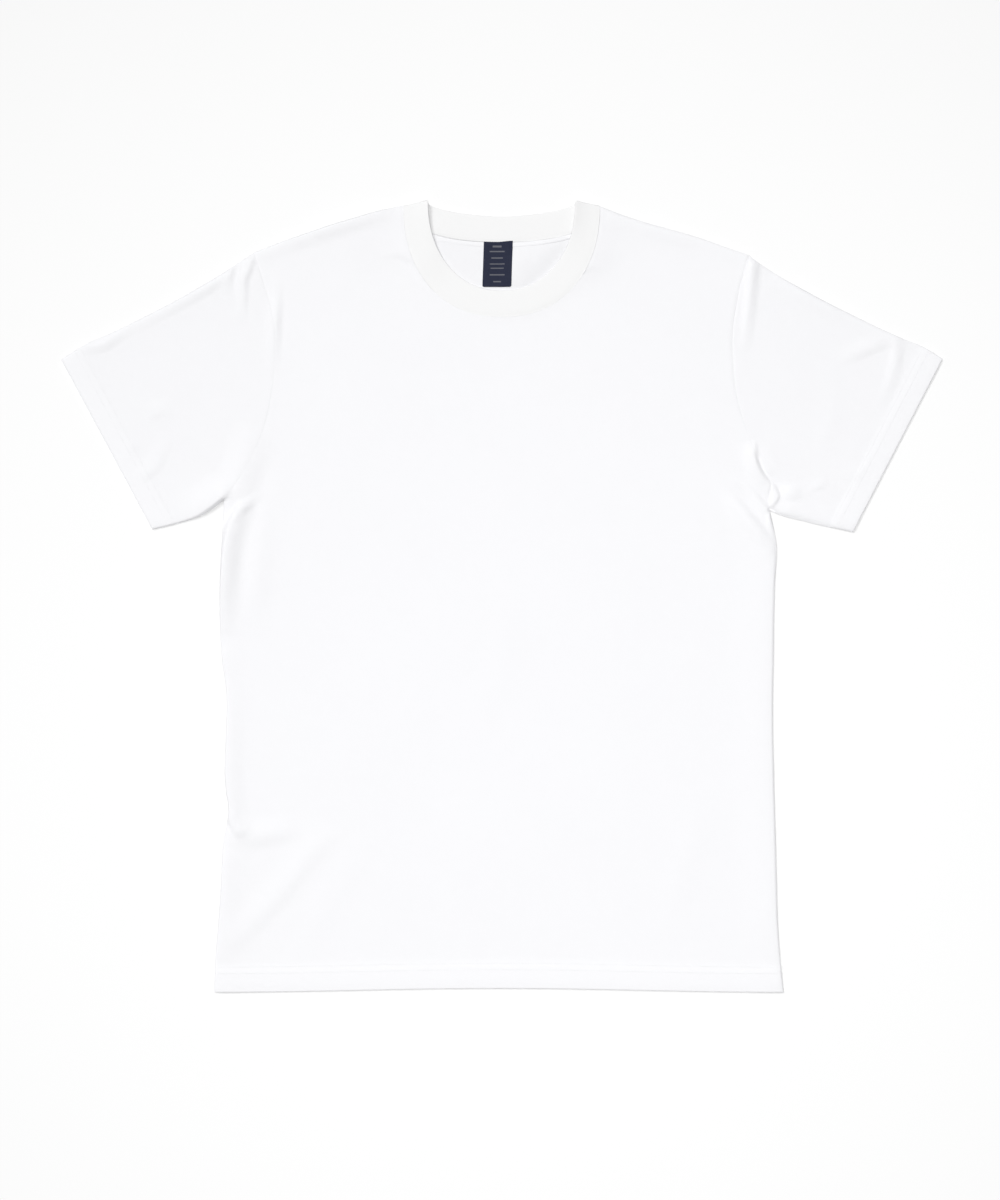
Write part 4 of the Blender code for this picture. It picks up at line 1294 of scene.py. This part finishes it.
@dataclass(frozen=True)
class ThreadFinish:
    """Twisted sewing thread, with painted shade along its twist.

    Attributes:
        name: The material's name.
        light: The colour of the full thread.
        dark: The colour of the painted shade along the twist of its strands.
        twist: From one strand to the next, in metres.
        slant: How far along the thread a strand runs for each step across it.
        depth: The depth of its relief, in metres.
        roughness: The shader's roughness.
    """

    name: str = "white_thread"
    light: Colour = (0.86, 0.86, 0.87)
    dark: Colour = (0.74, 0.74, 0.76)
    twist: float = 0.0005
    slant: float = 0.8
    depth: float = 0.00004
    roughness: float = 0.55

    def material(self) -> bpy.types.Material:
        """The material, with a fine slanting twist and painted shade that follows it.

        Returns:
            The material.
        """
        w = MaterialWiring(self.name)
        x, y, _ = w.node("SeparateXYZ", {"Vector": w.place()}).outputs
        slant = w.math("ADD", x, w.math("MULTIPLY", y, self.slant))
        twist = w.math("SINE", w.math("MULTIPLY", slant, math.tau / self.twist))
        # Painted shade: darker stripes that follow the twist of the strands
        mask = w.math("ADD", 0.5, w.math("MULTIPLY", twist, 0.5))
        return w.finish({"Base Color": w.mix(mask, opaque(self.light), opaque(self.dark)),
                         "Roughness": self.roughness, "Normal": w.relief(twist, self.depth)})


@dataclass(frozen=True)
class FloorFinish:
    """A plain matt floor.

    Attributes:
        name: The material's name.
        colour: Its colour.
    """

    name: str = "pale_floor"
    colour: Colour = (0.818, 0.818, 0.818)

    def material(self) -> bpy.types.Material:
        """The material, without any reflection."""
        return MaterialWiring(self.name).finish({"Base Color": opaque(self.colour), "Roughness": 1.0,
                                                 "Specular IOR Level": 0.0})


# ---------------------------------------------------------------- panels and sleeves

@dataclass
class BodyPanel:
    """The front or the back of the body.

    Attributes:
        shirt: The laid-out form.
        layer: Upper for the front, lower for the back.
        neck: The drop and the power of its neck edge.
        steps: The net's steps over a side, an armhole, a shoulder and the neck.
        neck_gap: How far its neck edge keeps from the band.
        edge_reach: How far from an edge its slack is looked for.
    """

    shirt: LaidShirt
    layer: Layer
    neck: tuple[float, float]
    steps: tuple[int, int, int, int] = (128, 72, 41, 82)
    neck_gap: float = 0.03
    edge_reach: float = 12.0

    def patch(self) -> Patch:
        """The net of the panel.

        Returns:
            The patch, from the hem to the neck.
        """
        side, armhole, shoulder, neck = self.steps
        shirt = self.shirt
        left, right = (Rim([(shirt.side[which], side), (shirt.armhole[which], armhole)]) for which in Side)
        top = Rim([(shirt.shoulder[Side.LEFT], shoulder), (shirt.neck(self.neck, self.neck_gap), neck),
                   (shirt.shoulder[Side.RIGHT].back(), shoulder)])
        return Patch(Rim([(shirt.hem, 2 * shoulder + neck)]), top, left, right)

    def heights(self, points: Array, wall: bool) -> Array:
        """The heights of one face, drawn in along its open edges and sunk beside its seams.

        Args:
            points: Places in the plane, one to a row.
            wall: Whether the inner face is asked for, not the outer one.

        Returns:
            The height at each place.
        """
        shirt = self.shirt
        upper = self.layer is Layer.UPPER
        heights = (shirt.upper if upper else shirt.lower)(points, wall)
        outward = -1 if upper != wall else 1
        hem = shirt.hem.distance(points, self.edge_reach)
        heights = heights + outward * rim_slack(hem, shirt.cloth + shirt.hem_extra)
        if upper:
            neck = shirt.neck(self.neck, self.neck_gap).distance(points, self.edge_reach)
            deep, wide = shirt.neck_sink
            near = np.clip(1 - neck / shirt.neck_roll_wide, 0, 1) ** 2
            roll = np.interp(points[:, 0], *shirt.neck_roll) * near
            heights = heights - deep * np.exp(-(neck / wide) ** 2) + roll
        return heights

    def build(self, name: str, material: bpy.types.Material) -> bpy.types.Object:
        """The panel as a closed shell.

        Args:
            name: The piece's name.
            material: Its cloth.

        Returns:
            The object.
        """
        bm = bmesh.new()
        add_net(bm, self.patch().net())
        refine(bm, CREASES if self.layer is Layer.UPPER else ())
        outer = list(bm.verts)
        inner = verts_in(bmesh.ops.extrude_face_region(bm, geom=list(bm.faces))["geom"])
        set_heights(outer, self.heights(places(outer), wall=False))
        set_heights(inner, self.heights(places(inner), wall=True))
        bmesh.ops.remove_doubles(bm, verts=bm.verts, dist=1e-6)
        piece = finish_mesh(bm, name, material)
        mark_doubled(piece, self.shirt)
        return piece


@dataclass
class Sleeve:
    """A flattened sleeve: a tube of jersey, open at the armhole and the cuff.

    Attributes:
        shirt: The laid-out form.
        side: Which sleeve it is.
        across: The net's steps from the armhole to the cuff.
        around: Its steps from the underarm to the shoulder.
        gap: How far it keeps from the body.
        edge_reach: How far from the cuff its slack is looked for.
        draw_reach: How far from the folded edges the inner face is drawn in.
    """

    shirt: LaidShirt
    side: Side
    across: int = 58
    around: int = 70
    gap: float = 0.03
    edge_reach: float = 12.0
    draw_reach: float = 4.0

    def patch(self) -> Patch:
        """The net of one layer, whose folded edges start at the sleeve's own armhole edge.

        Returns:
            The patch, from the underside to the folded top.
        """
        shirt, side = self.shirt, self.side
        seam = shirt.armhole[side].moved(-side.value * self.gap)
        top = Line(np.vstack([seam.points[-1:], shirt.sleeve_top[side].points[1:]]))
        under = Line(np.vstack([seam.points[:1], shirt.sleeve_under[side].points[1:]]))
        ends = [Rim([(line, self.around)]) for line in (seam, shirt.cuff[side])]
        if side is Side.LEFT:
            top, under, ends = top.back(), under.back(), ends[::-1]
        return Patch(Rim([(under, self.across)]), Rim([(top, self.across)]), *ends)

    def drawn_in(self, points: Array) -> Array:
        """The inner face's places, which the wall's thickness moves inwards beside the folded edges.

        Args:
            points: Places in the plane, one to a row.

        Returns:
            The moved places.
        """
        moved = points.copy()
        for line, turn in ((self.shirt.sleeve_top[self.side], -self.side.value),
                           (self.shirt.sleeve_under[self.side], self.side.value)):
            gap, along, _ = line.nearest(points, self.draw_reach)
            near = np.isfinite(gap) & (gap < self.draw_reach)
            inward = left_of(line.run(along[near], 1.0)) * turn
            moved[near] += inward * (self.shirt.cloth * (1 - gap[near] / self.draw_reach))[:, None]
        return moved

    def heights(self, points: Array, lower: Array, wall: bool) -> Array:
        """The heights of the tube's outer or inner face.

        Args:
            points: Places in the plane, one to a row.
            lower: Whether each one lies in the lower layer.
            wall: Whether the inner face is asked for, not the outer one.

        Returns:
            The height at each place.
        """
        shirt = self.shirt
        heights = np.where(lower, shirt.lower(points, wall), shirt.upper(points, wall))
        cuff = shirt.cuff[self.side].distance(points, self.edge_reach)
        outward = np.where(lower, 1, -1) * (-1 if wall else 1)
        return heights + outward * rim_slack(cuff, shirt.cloth + shirt.hem_extra)

    def build(self, name: str, material: bpy.types.Material) -> bpy.types.Object:
        """The sleeve as a tube with a wall.

        Args:
            name: The piece's name.
            material: Its cloth.

        Returns:
            The object.
        """
        bm = bmesh.new()
        mark = bm.verts.layers.int.new("lower")
        add_net(bm, self.patch().net())
        refine(bm, CREASES)
        copied = bmesh.ops.duplicate(bm, geom=[*bm.verts, *bm.edges, *bm.faces])["geom"]
        for vert in verts_in(copied):
            vert[mark] = 1
        bmesh.ops.reverse_faces(bm, faces=[item for item in copied if isinstance(item, bmesh.types.BMFace)])
        self.lift(list(bm.verts), mark, wall=False)
        bmesh.ops.remove_doubles(bm, verts=bm.verts, dist=2e-6)
        inner = verts_in(bmesh.ops.extrude_face_region(bm, geom=list(bm.faces))["geom"])
        self.lift(inner, mark, wall=True)
        for vert, place in zip(inner, self.drawn_in(places(inner))):
            vert.co.x, vert.co.y = place * MM
        piece = finish_mesh(bm, name, material)
        mark_doubled(piece, self.shirt)
        return piece

    def lift(self, verts: Verts, mark: bmesh.types.BMLayerItem, wall: bool) -> None:
        """Sets the heights of one face's vertices, whose mark is 1 in the lower layer of cloth."""
        lower = np.array([vert[mark] == 1 for vert in verts])
        set_heights(verts, self.heights(places(verts), lower, wall))


# ---------------------------------------------------------------- collar

@dataclass
class CollarBand:
    """The ring of folded rib round the neck.

    Attributes:
        cut: The tables of the neck's lines.
        pitch: The width of one rib.
        per_rib: The stations that a rib takes.
        rib: The height of a rib over its valley.
        half: Half the thickness of the folded band.
        crown: How much fuller its middle is.
        cloth: What of that half is cloth, outside the hollow of the fold.
        front_low: The underside at the bottom of the front neck.
        front_high: The underside where the band lies on the tape.
        rise: The places up the shirt between which it rises from one to the other.
        stand: How far the rim stands up further at the left and the right neck point.
        stand_curve: How late that rise comes, from the seam to the rim: 1 for evenly.
        stand_reach: How far down the front it fades out.
        crowding: How the back's ribs crowd at the ends of the rim: 1 for evenly, more for closer.
        turn_stations: The steps in which the band turns over at each neck point.
        round_end: How much narrower it is in the middle of that turn.
        end_bulge: How far the turn bulges towards the shoulder, in shares of its radius.
        seam_thick: The share of its thickness at the seam.
        seam_grows: The share of its width over which it gains the rest.
        rib_start: The share of the ribs' height at the seam.
        rib_grows: The share of its width that gains a whole rib's height.
        rim_rib: The share of the ribs' height that is left round the rim.
        outer_shares: Shares of the width of the section's points, up to the rim.
        rim_angles: The angles of the points round the rim, in degrees.
        hollow_shares: Shares of the width of the points along the hollow.
    """

    cut: Cut
    pitch: float = 1.5
    per_rib: int = 4
    rib: float = 0.14
    half: float = 0.65
    crown: float = 0.14
    cloth: float = 0.55
    front_low: float = 0.8
    front_high: float = 1.85
    rise: tuple[float, float] = (282.0, 312.0)
    stand: tuple[float, float] = (4.4, 3.3)
    stand_curve: float = 2.4
    stand_reach: float = 74.0
    crowding: float = 1.55
    turn_stations: int = 14
    round_end: float = 0.08
    end_bulge: float = 0.7
    seam_thick: float = 0.5
    seam_grows: float = 0.16
    rib_start: float = 0.15
    rib_grows: float = 0.15
    rim_rib: float = 0.8
    outer_shares: tuple[float, ...] = (0.0, 0.02, 0.05, 0.09, 0.14, 0.22, 0.36, 0.5, 0.64, 0.78, 0.88)
    rim_angles: tuple[float, ...] = (90.0, 66.0, 42.0, 20.0, 0.0, -20.0, -42.0, -66.0, -90.0)
    hollow_shares: tuple[float, ...] = (0.0, 0.2, 0.5, 0.8)

    def run(self, seam: Line, rim: Line, crowding: float) -> tuple[Array, Array]:
        """Even stations along one half of the ring.

        Args:
            seam: The line of its seam.
            rim: The line of its rim.
            crowding: How much closer the rim's stations lie at its ends, 1 for evenly.

        Returns:
            The places on the seam and those on the rim.
        """
        middle = (seam.length + rim.length) / 2
        share = np.linspace(0.0, 1.0, self.per_rib * round(middle / self.pitch) + 1)
        crowded = np.where(share < 0.5, 0.5 * (2 * share) ** crowding, 1 - 0.5 * (2 - 2 * share) ** crowding)
        return seam.at(share * seam.length), rim.at(crowded * rim.length)

    def stations(self) -> tuple[Array, ...]:
        """The stations round the ring.

        Returns:
            Their seam places, rim places, turns (0 in front, pi at the back), stands and rib phases.
        """
        cut = self.cut
        front = self.run(cut.seam(cut.front_neck), cut.rim(cut.front_rim), 1.0)
        back = self.run(cut.seam(cut.back_neck).back(), cut.rim(cut.back_rim).back(), self.crowding)
        bend = math.pi * np.arange(1, self.turn_stations) / self.turn_stations
        seams, rims, turns, waves = [], [], [], []
        for (seam, rim), turn in ((front, 0.0), (back, math.pi)):
            seams += [seam, np.repeat(seam[-1:], len(bend), 0)]
            rims += [rim, np.repeat(rim[-1:], len(bend), 0)]
            turns += [np.full(len(seam), turn), bend + turn]
            waves += [np.cos(math.tau * np.arange(len(seam)) / self.per_rib), np.zeros(len(bend))]
        seam, rim, turn, wave = (np.concatenate(part) for part in (seams, rims, turns, waves))
        stand = np.where(seam[:, 0] < 0, *self.stand)
        stand = stand * smoothstep(cut.neck_point_y - self.stand_reach, cut.neck_point_y, seam[:, 1])
        return seam, rim, turn, stand, wave

    def section(self, width: float) -> list[tuple[float, float, float]]:
        """The closed section of the band.

        Args:
            width: The width of the band.

        Returns:
            Share of the width, offset from its middle and share of the ribs, for each point round it.
        """
        bend = self.half / width
        outer = []
        for share in self.outer_shares:
            grown = float(smoothstep(0.0, self.seam_grows, np.array(share)))
            pinch = self.seam_thick + (1.0 - self.seam_thick) * grown
            full = self.half * pinch + self.crown * math.sin(math.pi * share)
            outer.append((share, full, min(1.0, self.rib_start + share / self.rib_grows)))
        rim = [(1.0 - bend + bend * math.cos(angle), self.half * math.sin(angle),
                self.rim_rib * abs(math.sin(angle))) for angle in map(math.radians, self.rim_angles)]
        hollow = [(share, self.cloth - self.half, 0.0) for share in self.hollow_shares]
        over, under = ([(share, -offset, ribs) for share, offset, ribs in reversed(part)]
                       for part in (outer, hollow))
        return outer + rim + over + hollow + [(1.0 - bend, 0.0, 0.0)] + under

    def build(self, name: str, material: bpy.types.Material) -> bpy.types.Object:
        """The band as a folded shell.

        Args:
            name: The piece's name.
            material: Its rib.

        Returns:
            The object.
        """
        seam, rim, turn, stand, wave = self.stations()
        section = self.section(float(np.hypot(*(seam - rim).T).mean()))
        risen = np.where(turn == 0.0, smoothstep(*self.rise, seam[:, 1]), 1.0)
        front_under = self.front_low + (self.front_high - self.front_low) * risen
        back = self.half + self.crown + self.rib / 2
        bm = bmesh.new()
        for vert, column, row in grid_verts(bm, len(seam), len(section)):
            k = column % len(seam)
            share, offset, ribbing = section[row % len(section)]
            radius = (front_under[k] + self.half + stand[k] * share ** self.stand_curve - back) / 2
            facing, swing = math.cos(turn[k]), abs(math.sin(turn[k]))
            spot = seam[k] + (rim[k] - seam[k]) * share * (1 - self.round_end * swing ** 2)
            away = offset + math.copysign(ribbing * self.rib * wave[k] / 2, offset)
            vert.co = (spot[0] * MM, (spot[1] + self.end_bulge * radius * swing + away * swing) * MM,
                       (back + radius * (1 + facing) + away * facing) * MM)
        bmesh.ops.remove_doubles(bm, verts=bm.verts, dist=1e-7)
        return finish_mesh(bm, name, material)


# ---------------------------------------------------------------- tape, label and stitches

def lay_on_back(shirt: LaidShirt, verts: Verts) -> None:
    """Lifts vertices as the back panel's creases lift the cloth under them.

    Args:
        shirt: The laid-out form.
        verts: The vertices of what lies on the back panel.
    """
    flat = places(verts)
    for vert, lift in zip(verts, shirt.back_lift(flat, shirt.fold_distance(flat))):
        vert.co.z += lift * MM


@dataclass
class NeckTape:
    """The narrow binding over the back neck seam.

    Attributes:
        shirt: The laid-out form.
        width: Its width.
        span: The shares of the back neck seam where it starts and ends.
        low: The height of its underside, on the back panel.
        thick: Its thickness at its left and its right end.
        gap: How far it keeps from the band.
        steps: The steps along it.
        section: Share of the width, share of the thickness and depth below it, for the points round it.
    """

    shirt: LaidShirt
    width: float = 4.6
    span: tuple[float, float] = (0.13, 0.87)
    low: float = 0.63
    thick: tuple[float, float] = (0.14, 0.8)
    gap: float = 0.05
    steps: int = 90
    section: tuple[tuple[float, float, float], ...] = (
        (0.0, 0.2, 0.0), (0.08, 0.5, 0.0), (0.18, 0.82, 0.0), (0.32, 0.97, 0.0), (0.5, 1.0, 0.0),
        (0.66, 0.97, 0.0), (0.79, 0.84, 0.0), (0.89, 0.58, 0.0), (0.96, 0.24, 0.0), (1.0, 0.0, 0.05),
        (1.02, 0.0, 0.2), (0.9, 0.0, 0.3), (0.5, 0.0, 0.3), (0.0, 0.0, 0.3),
    )

    def build(self, name: str, material: bpy.types.Material) -> bpy.types.Object:
        """The tape, whose upper edge follows the neck seam.

        Args:
            name: The piece's name.
            material: Its cloth.

        Returns:
            The object.
        """
        cut = self.shirt.cut
        line = cut.seam(cut.back_neck).moved(-self.gap)
        upper = line.at(np.linspace(*self.span, self.steps + 1) * line.length)
        down = -left_of(unit(np.gradient(upper, axis=0)))
        first, last = self.thick
        bm = bmesh.new()
        made = grid_verts(bm, self.steps, len(self.section))
        for vert, k, row in made:
            share, height, sunk = self.section[row % len(self.section)]
            x, y = upper[k] + down[k] * share * self.width
            thick = first + (last - first) * k / self.steps
            vert.co = (x * MM, y * MM, (self.low + height * thick - sunk) * MM)
        lay_on_back(self.shirt, [vert for vert, _, _ in made])
        bmesh.ops.remove_doubles(bm, verts=bm.verts, dist=1e-7)
        bmesh.ops.holes_fill(bm, edges=[edge for edge in bm.edges if edge.is_boundary], sides=0)
        return finish_mesh(bm, name, material)


@dataclass
class NeckLabel:
    """The woven label that hangs from the tape and lies on the back panel.

    Attributes:
        shirt: The laid-out form.
        width: Its width.
        x: The middle of its upper edge.
        lean: How far further left its lower edge lies.
        thick: Its thickness.
        corner: The radius of its corners.
        sections: Place up the shirt and height over the floor, from its upper to its lower edge.
        columns: Its steps across.
        rows: Its steps up.
    """

    shirt: LaidShirt
    width: float = 27.2
    x: float = -3.1
    lean: float = 1.5
    thick: float = 0.4
    corner: float = 1.6
    sections: Spots = (
        (335.2, 1.2), (329.0, 1.2), (324.0, 1.0), (318.0, 0.8), (304.0, 0.85), (296.0, 1.05), (290.6, 1.3),
    )
    columns: int = 40
    rows: int = 64

    def build(self, name: str, material: bpy.types.Material) -> bpy.types.Object:
        """The label.

        Args:
            name: The piece's name.
            material: Its satin.

        Returns:
            The object.
        """
        top, bottom = self.sections[0][0], self.sections[-1][0]
        drape = Line.through(self.sections[::-1], 0.5)
        half, tall = self.width / 2, (top - bottom) / 2
        bm = bmesh.new()
        bmesh.ops.create_grid(bm, x_segments=self.columns, y_segments=self.rows, size=1.0)
        for vert in bm.verts:
            u, v = vert.co.x * half, vert.co.y * tall
            over_x, over_y = abs(u) - (half - self.corner), abs(v) - (tall - self.corner)
            if over_x > 0 and over_y > 0:
                pull = max(over_x, over_y) / math.hypot(over_x, over_y)
                u = math.copysign(half - self.corner + over_x * pull, u)
                v = math.copysign(tall - self.corner + over_y * pull, v)
            y = bottom + tall + v
            x = self.x - self.lean * (top - y) / (top - bottom) + u
            vert.co = (x * MM, y * MM, float(np.interp(y, *drape.points.T)) * MM)
        lay_on_back(self.shirt, list(bm.verts))
        bmesh.ops.solidify(bm, geom=list(bm.faces), thickness=self.thick * MM)
        return finish_mesh(bm, name, material)


@dataclass
class StitchRow:
    """A row of short stitches sunk into the cloth.

    Attributes:
        line: Where it runs.
        surface: The height of the cloth at places, in millimetres.
        pitch: From one stitch to the next.
        size: The length, width and height of a stitch.
    """

    line: Line
    surface: Callable[[Array], Array]
    pitch: float = 2.6
    size: tuple[float, float, float] = (1.9, 0.42, 0.3)

    def add_to(self, bm: Mesh) -> int:
        """Adds the stitches to a mesh.

        Args:
            bm: The mesh.

        Returns:
            How many there are.
        """
        count = max(1, round(self.line.length / self.pitch))
        marks = (np.arange(count) + 0.5) / count * self.line.length
        spots, ahead = self.line.at(marks), self.line.at(np.minimum(marks + 0.5, self.line.length))
        scale = Matrix.Diagonal((*(part / 2 * MM for part in self.size), 1.0))
        for spot, to, height in zip(spots, ahead, self.surface(spots)):
            turn = Matrix.Rotation(math.atan2(to[1] - spot[1], to[0] - spot[0]), 4, "Z")
            place = Matrix.Translation(Vector((*spot, height)) * MM) @ turn @ scale
            bmesh.ops.create_icosphere(bm, subdivisions=1, radius=1.0, matrix=place)
        return count


# ---------------------------------------------------------------- studio

@dataclass
class Studio:
    """A pale floor, a soft key light from the upper left, a fill all round and a camera straight above.

    Attributes:
        centre: What the camera looks at, in millimetres.
        height: The camera's height, in metres.
        lens: Its focal length, in millimetres.
        sensor: The width of its sensor, in millimetres.
        floor_size: The width of the floor, in metres.
        floor_drop: How far the floor lies under the shirt, in metres.
        key_direction: From the shirt towards the key light.
        key_angle: How wide the key light looks, in degrees.
        key_strength: Its strength.
        top_place: The place of the light above the camera, in metres.
        top_size: Its width, in metres.
        top_power: Its power.
        fill: The strength of the white all round.
    """

    centre: tuple[float, float] = (-1.6, -3.5)
    height: float = 2.663
    lens: float = 85.0
    sensor: float = 36.0
    floor_size: float = 6.0
    floor_drop: float = 0.0001
    key_direction: tuple[float, float, float] = (-0.65, 0.76, 1.0)
    key_angle: float = 24.0
    key_strength: float = 1.55
    top_place: tuple[float, float, float] = (0.01, -0.13, 2.75)
    top_size: float = 1.0
    top_power: float = 50.3
    fill: float = 0.254

    def build(self) -> None:
        """Makes the floor, the lights, the world and the camera."""
        self.build_floor()
        self.build_lights()
        self.build_fill()
        self.build_camera()

    def build_floor(self) -> None:
        """A plain floor just under the shirt."""
        bm = bmesh.new()
        bmesh.ops.create_grid(bm, x_segments=4, y_segments=4, size=self.floor_size / 2)
        bmesh.ops.translate(bm, verts=bm.verts, vec=(0.0, 0.0, -self.floor_drop))
        finish_mesh(bm, "floor", FloorFinish().material())

    def build_lights(self) -> None:
        """The key and the soft light above the camera."""
        lamp = bpy.data.lights.new("key", "SUN")
        lamp.angle = math.radians(self.key_angle)
        lamp.energy = self.key_strength
        aim = Vector(self.key_direction).normalized().to_track_quat("Z", "Y")
        link("key", lamp).rotation_euler = aim.to_euler()
        lamp = bpy.data.lights.new("top_light", "AREA")
        lamp.size = self.top_size
        lamp.energy = self.top_power
        link("top_light", lamp).location = self.top_place

    def build_fill(self) -> None:
        """The white all round and how its light is shown."""
        world = bpy.data.worlds.new("studio")
        world.use_nodes = True
        sky = world.node_tree.nodes["Background"]
        sky.inputs["Color"].default_value = opaque((1.0, 1.0, 1.0))
        sky.inputs["Strength"].default_value = self.fill
        bpy.context.scene.world = world
        view = bpy.context.scene.view_settings
        view.view_transform = "Standard"
        view.look = "None"
        view.exposure, view.gamma = 0.0, 1.0

    def build_camera(self) -> None:
        """The camera, looking straight down."""
        data = bpy.data.cameras.new("camera")
        data.lens = self.lens
        data.sensor_width = self.sensor
        camera = link("camera", data)
        camera.location = (self.centre[0] * MM, self.centre[1] * MM, self.height)
        bpy.context.scene.camera = camera


# ---------------------------------------------------------------- the shirt

@dataclass
class Tshirt:
    """All the shirt's pieces and their cloths.

    Attributes:
        cut: The tables of its outline.
        body_whites: The colours of the body's full and thinner cloth.
        shaded_inside_whites: The same for the back, darker than the body's: painted shade for its inside,
            which shows down in the neck opening.
        shaded_sleeve_whites: The same for the sleeves, a little darker than the body's: painted shade for the
            dimmer light out on the sleeves.
        rib_whites: The same for the collar.
        sleeve_turn: How far the sleeves' wales are turned from the body's, in degrees.
        hem_rows: How far the stitch rows lie above the hem.
        cuff_rows: How far the stitch rows lie inside the cuffs.
    """

    cut: Cut = field(default_factory=Cut)
    body_whites: tuple[Colour, Colour] = ((0.833, 0.833, 0.849), (0.812, 0.812, 0.828))
    # The back's colours are darker than the body's: painted shade for its inside, seen down in the neck
    # opening
    shaded_inside_whites: tuple[Colour, Colour] = ((0.815, 0.815, 0.831), (0.794, 0.794, 0.810))
    # The sleeves' colours are a little darker than the body's: painted shade for the dimmer light out at the
    # sides
    shaded_sleeve_whites: tuple[Colour, Colour] = ((0.826, 0.826, 0.842), (0.805, 0.805, 0.821))
    rib_whites: tuple[Colour, Colour] = ((0.791, 0.791, 0.792), (0.774, 0.774, 0.775))
    sleeve_turn: float = 61.0
    hem_rows: tuple[float, float] = (23.6, 17.6)
    cuff_rows: tuple[float, float] = (21.0, 15.0)

    def build(self) -> None:
        """Builds and dresses every piece."""
        shirt = LaidShirt(self.cut)
        groups = ClothGroups()
        jersey = KnitFinish("white_jersey", *self.body_whites).material(groups)
        inside = KnitFinish("white_jersey_inside_shaded", *self.shaded_inside_whites).material(groups)
        rib = KnitFinish("white_rib", *self.rib_whites, wale=0.0011, course=0.0007, depth=0.00005)

        front = BodyPanel(shirt, Layer.UPPER, self.cut.front_neck).build("front_panel", jersey)
        self.place(front, "front_body", "jersey")
        back = BodyPanel(shirt, Layer.LOWER, self.cut.back_neck).build("back_panel", inside)
        self.place(back, "back_body", "jersey")
        for side in Side:
            word = side.name.lower()
            cloth = KnitFinish(f"white_jersey_{word}", *self.shaded_sleeve_whites,
                               turn=-side.value * self.sleeve_turn)
            sleeve = Sleeve(shirt, side).build(f"{word}_sleeve", cloth.material(groups))
            self.place(sleeve, f"sleeve_{word}", "jersey")
        band = CollarBand(self.cut).build("collar_band", rib.material(groups))
        self.place(band, "collar", "rib")
        tape = NeckTape(shirt).build("neck_binding", jersey)
        self.place(tape, "neck_tape", "tape")
        label = NeckLabel(shirt).build("label_tab", SatinFinish().material())
        self.place(label, "neck_label", "label")
        self.stitch(shirt, ThreadFinish().material())

    def place(self, piece: bpy.types.Object, node: str, slot: str) -> None:
        """Rides a piece on the body in place of a solid and reports it.

        Args:
            piece: The piece.
            node: The solid's name.
            slot: The cloth that it stands for; not used.
        """
        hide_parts(node)
        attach(piece, "root")
        log.info("%s: %d faces in place of %s", piece.name, len(piece.data.polygons), node)

    def stitch(self, shirt: LaidShirt, thread: bpy.types.Material) -> None:
        """Sews the twin rows along the hem and the cuffs.

        Args:
            shirt: The laid-out form.
            thread: The finish of the stitches.
        """
        rows = {"hem_stitches": [shirt.hem.moved(depth) for depth in self.hem_rows]}
        for side, cuff in shirt.cuff.items():
            name = f"{side.name.lower()}_cuff_stitches"
            rows[name] = [cuff.moved(side.value * depth) for depth in self.cuff_rows]
        for name, lines in rows.items():
            bm = bmesh.new()
            sewn = [StitchRow(line, lambda spots: shirt.upper(spots, wall=False)) for line in lines]
            count = sum(row.add_to(bm) for row in sewn)
            piece = finish_mesh(bm, name, thread)
            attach(piece, "root")
            log.info("%s: %d stitches", name, count)


def main() -> None:
    """Dresses the shirt and lights it."""
    logging.basicConfig(level=logging.INFO, format="%(name)s: %(message)s")
    Tshirt().build()
    Studio().build()


if __name__ == "__main__":
    main()
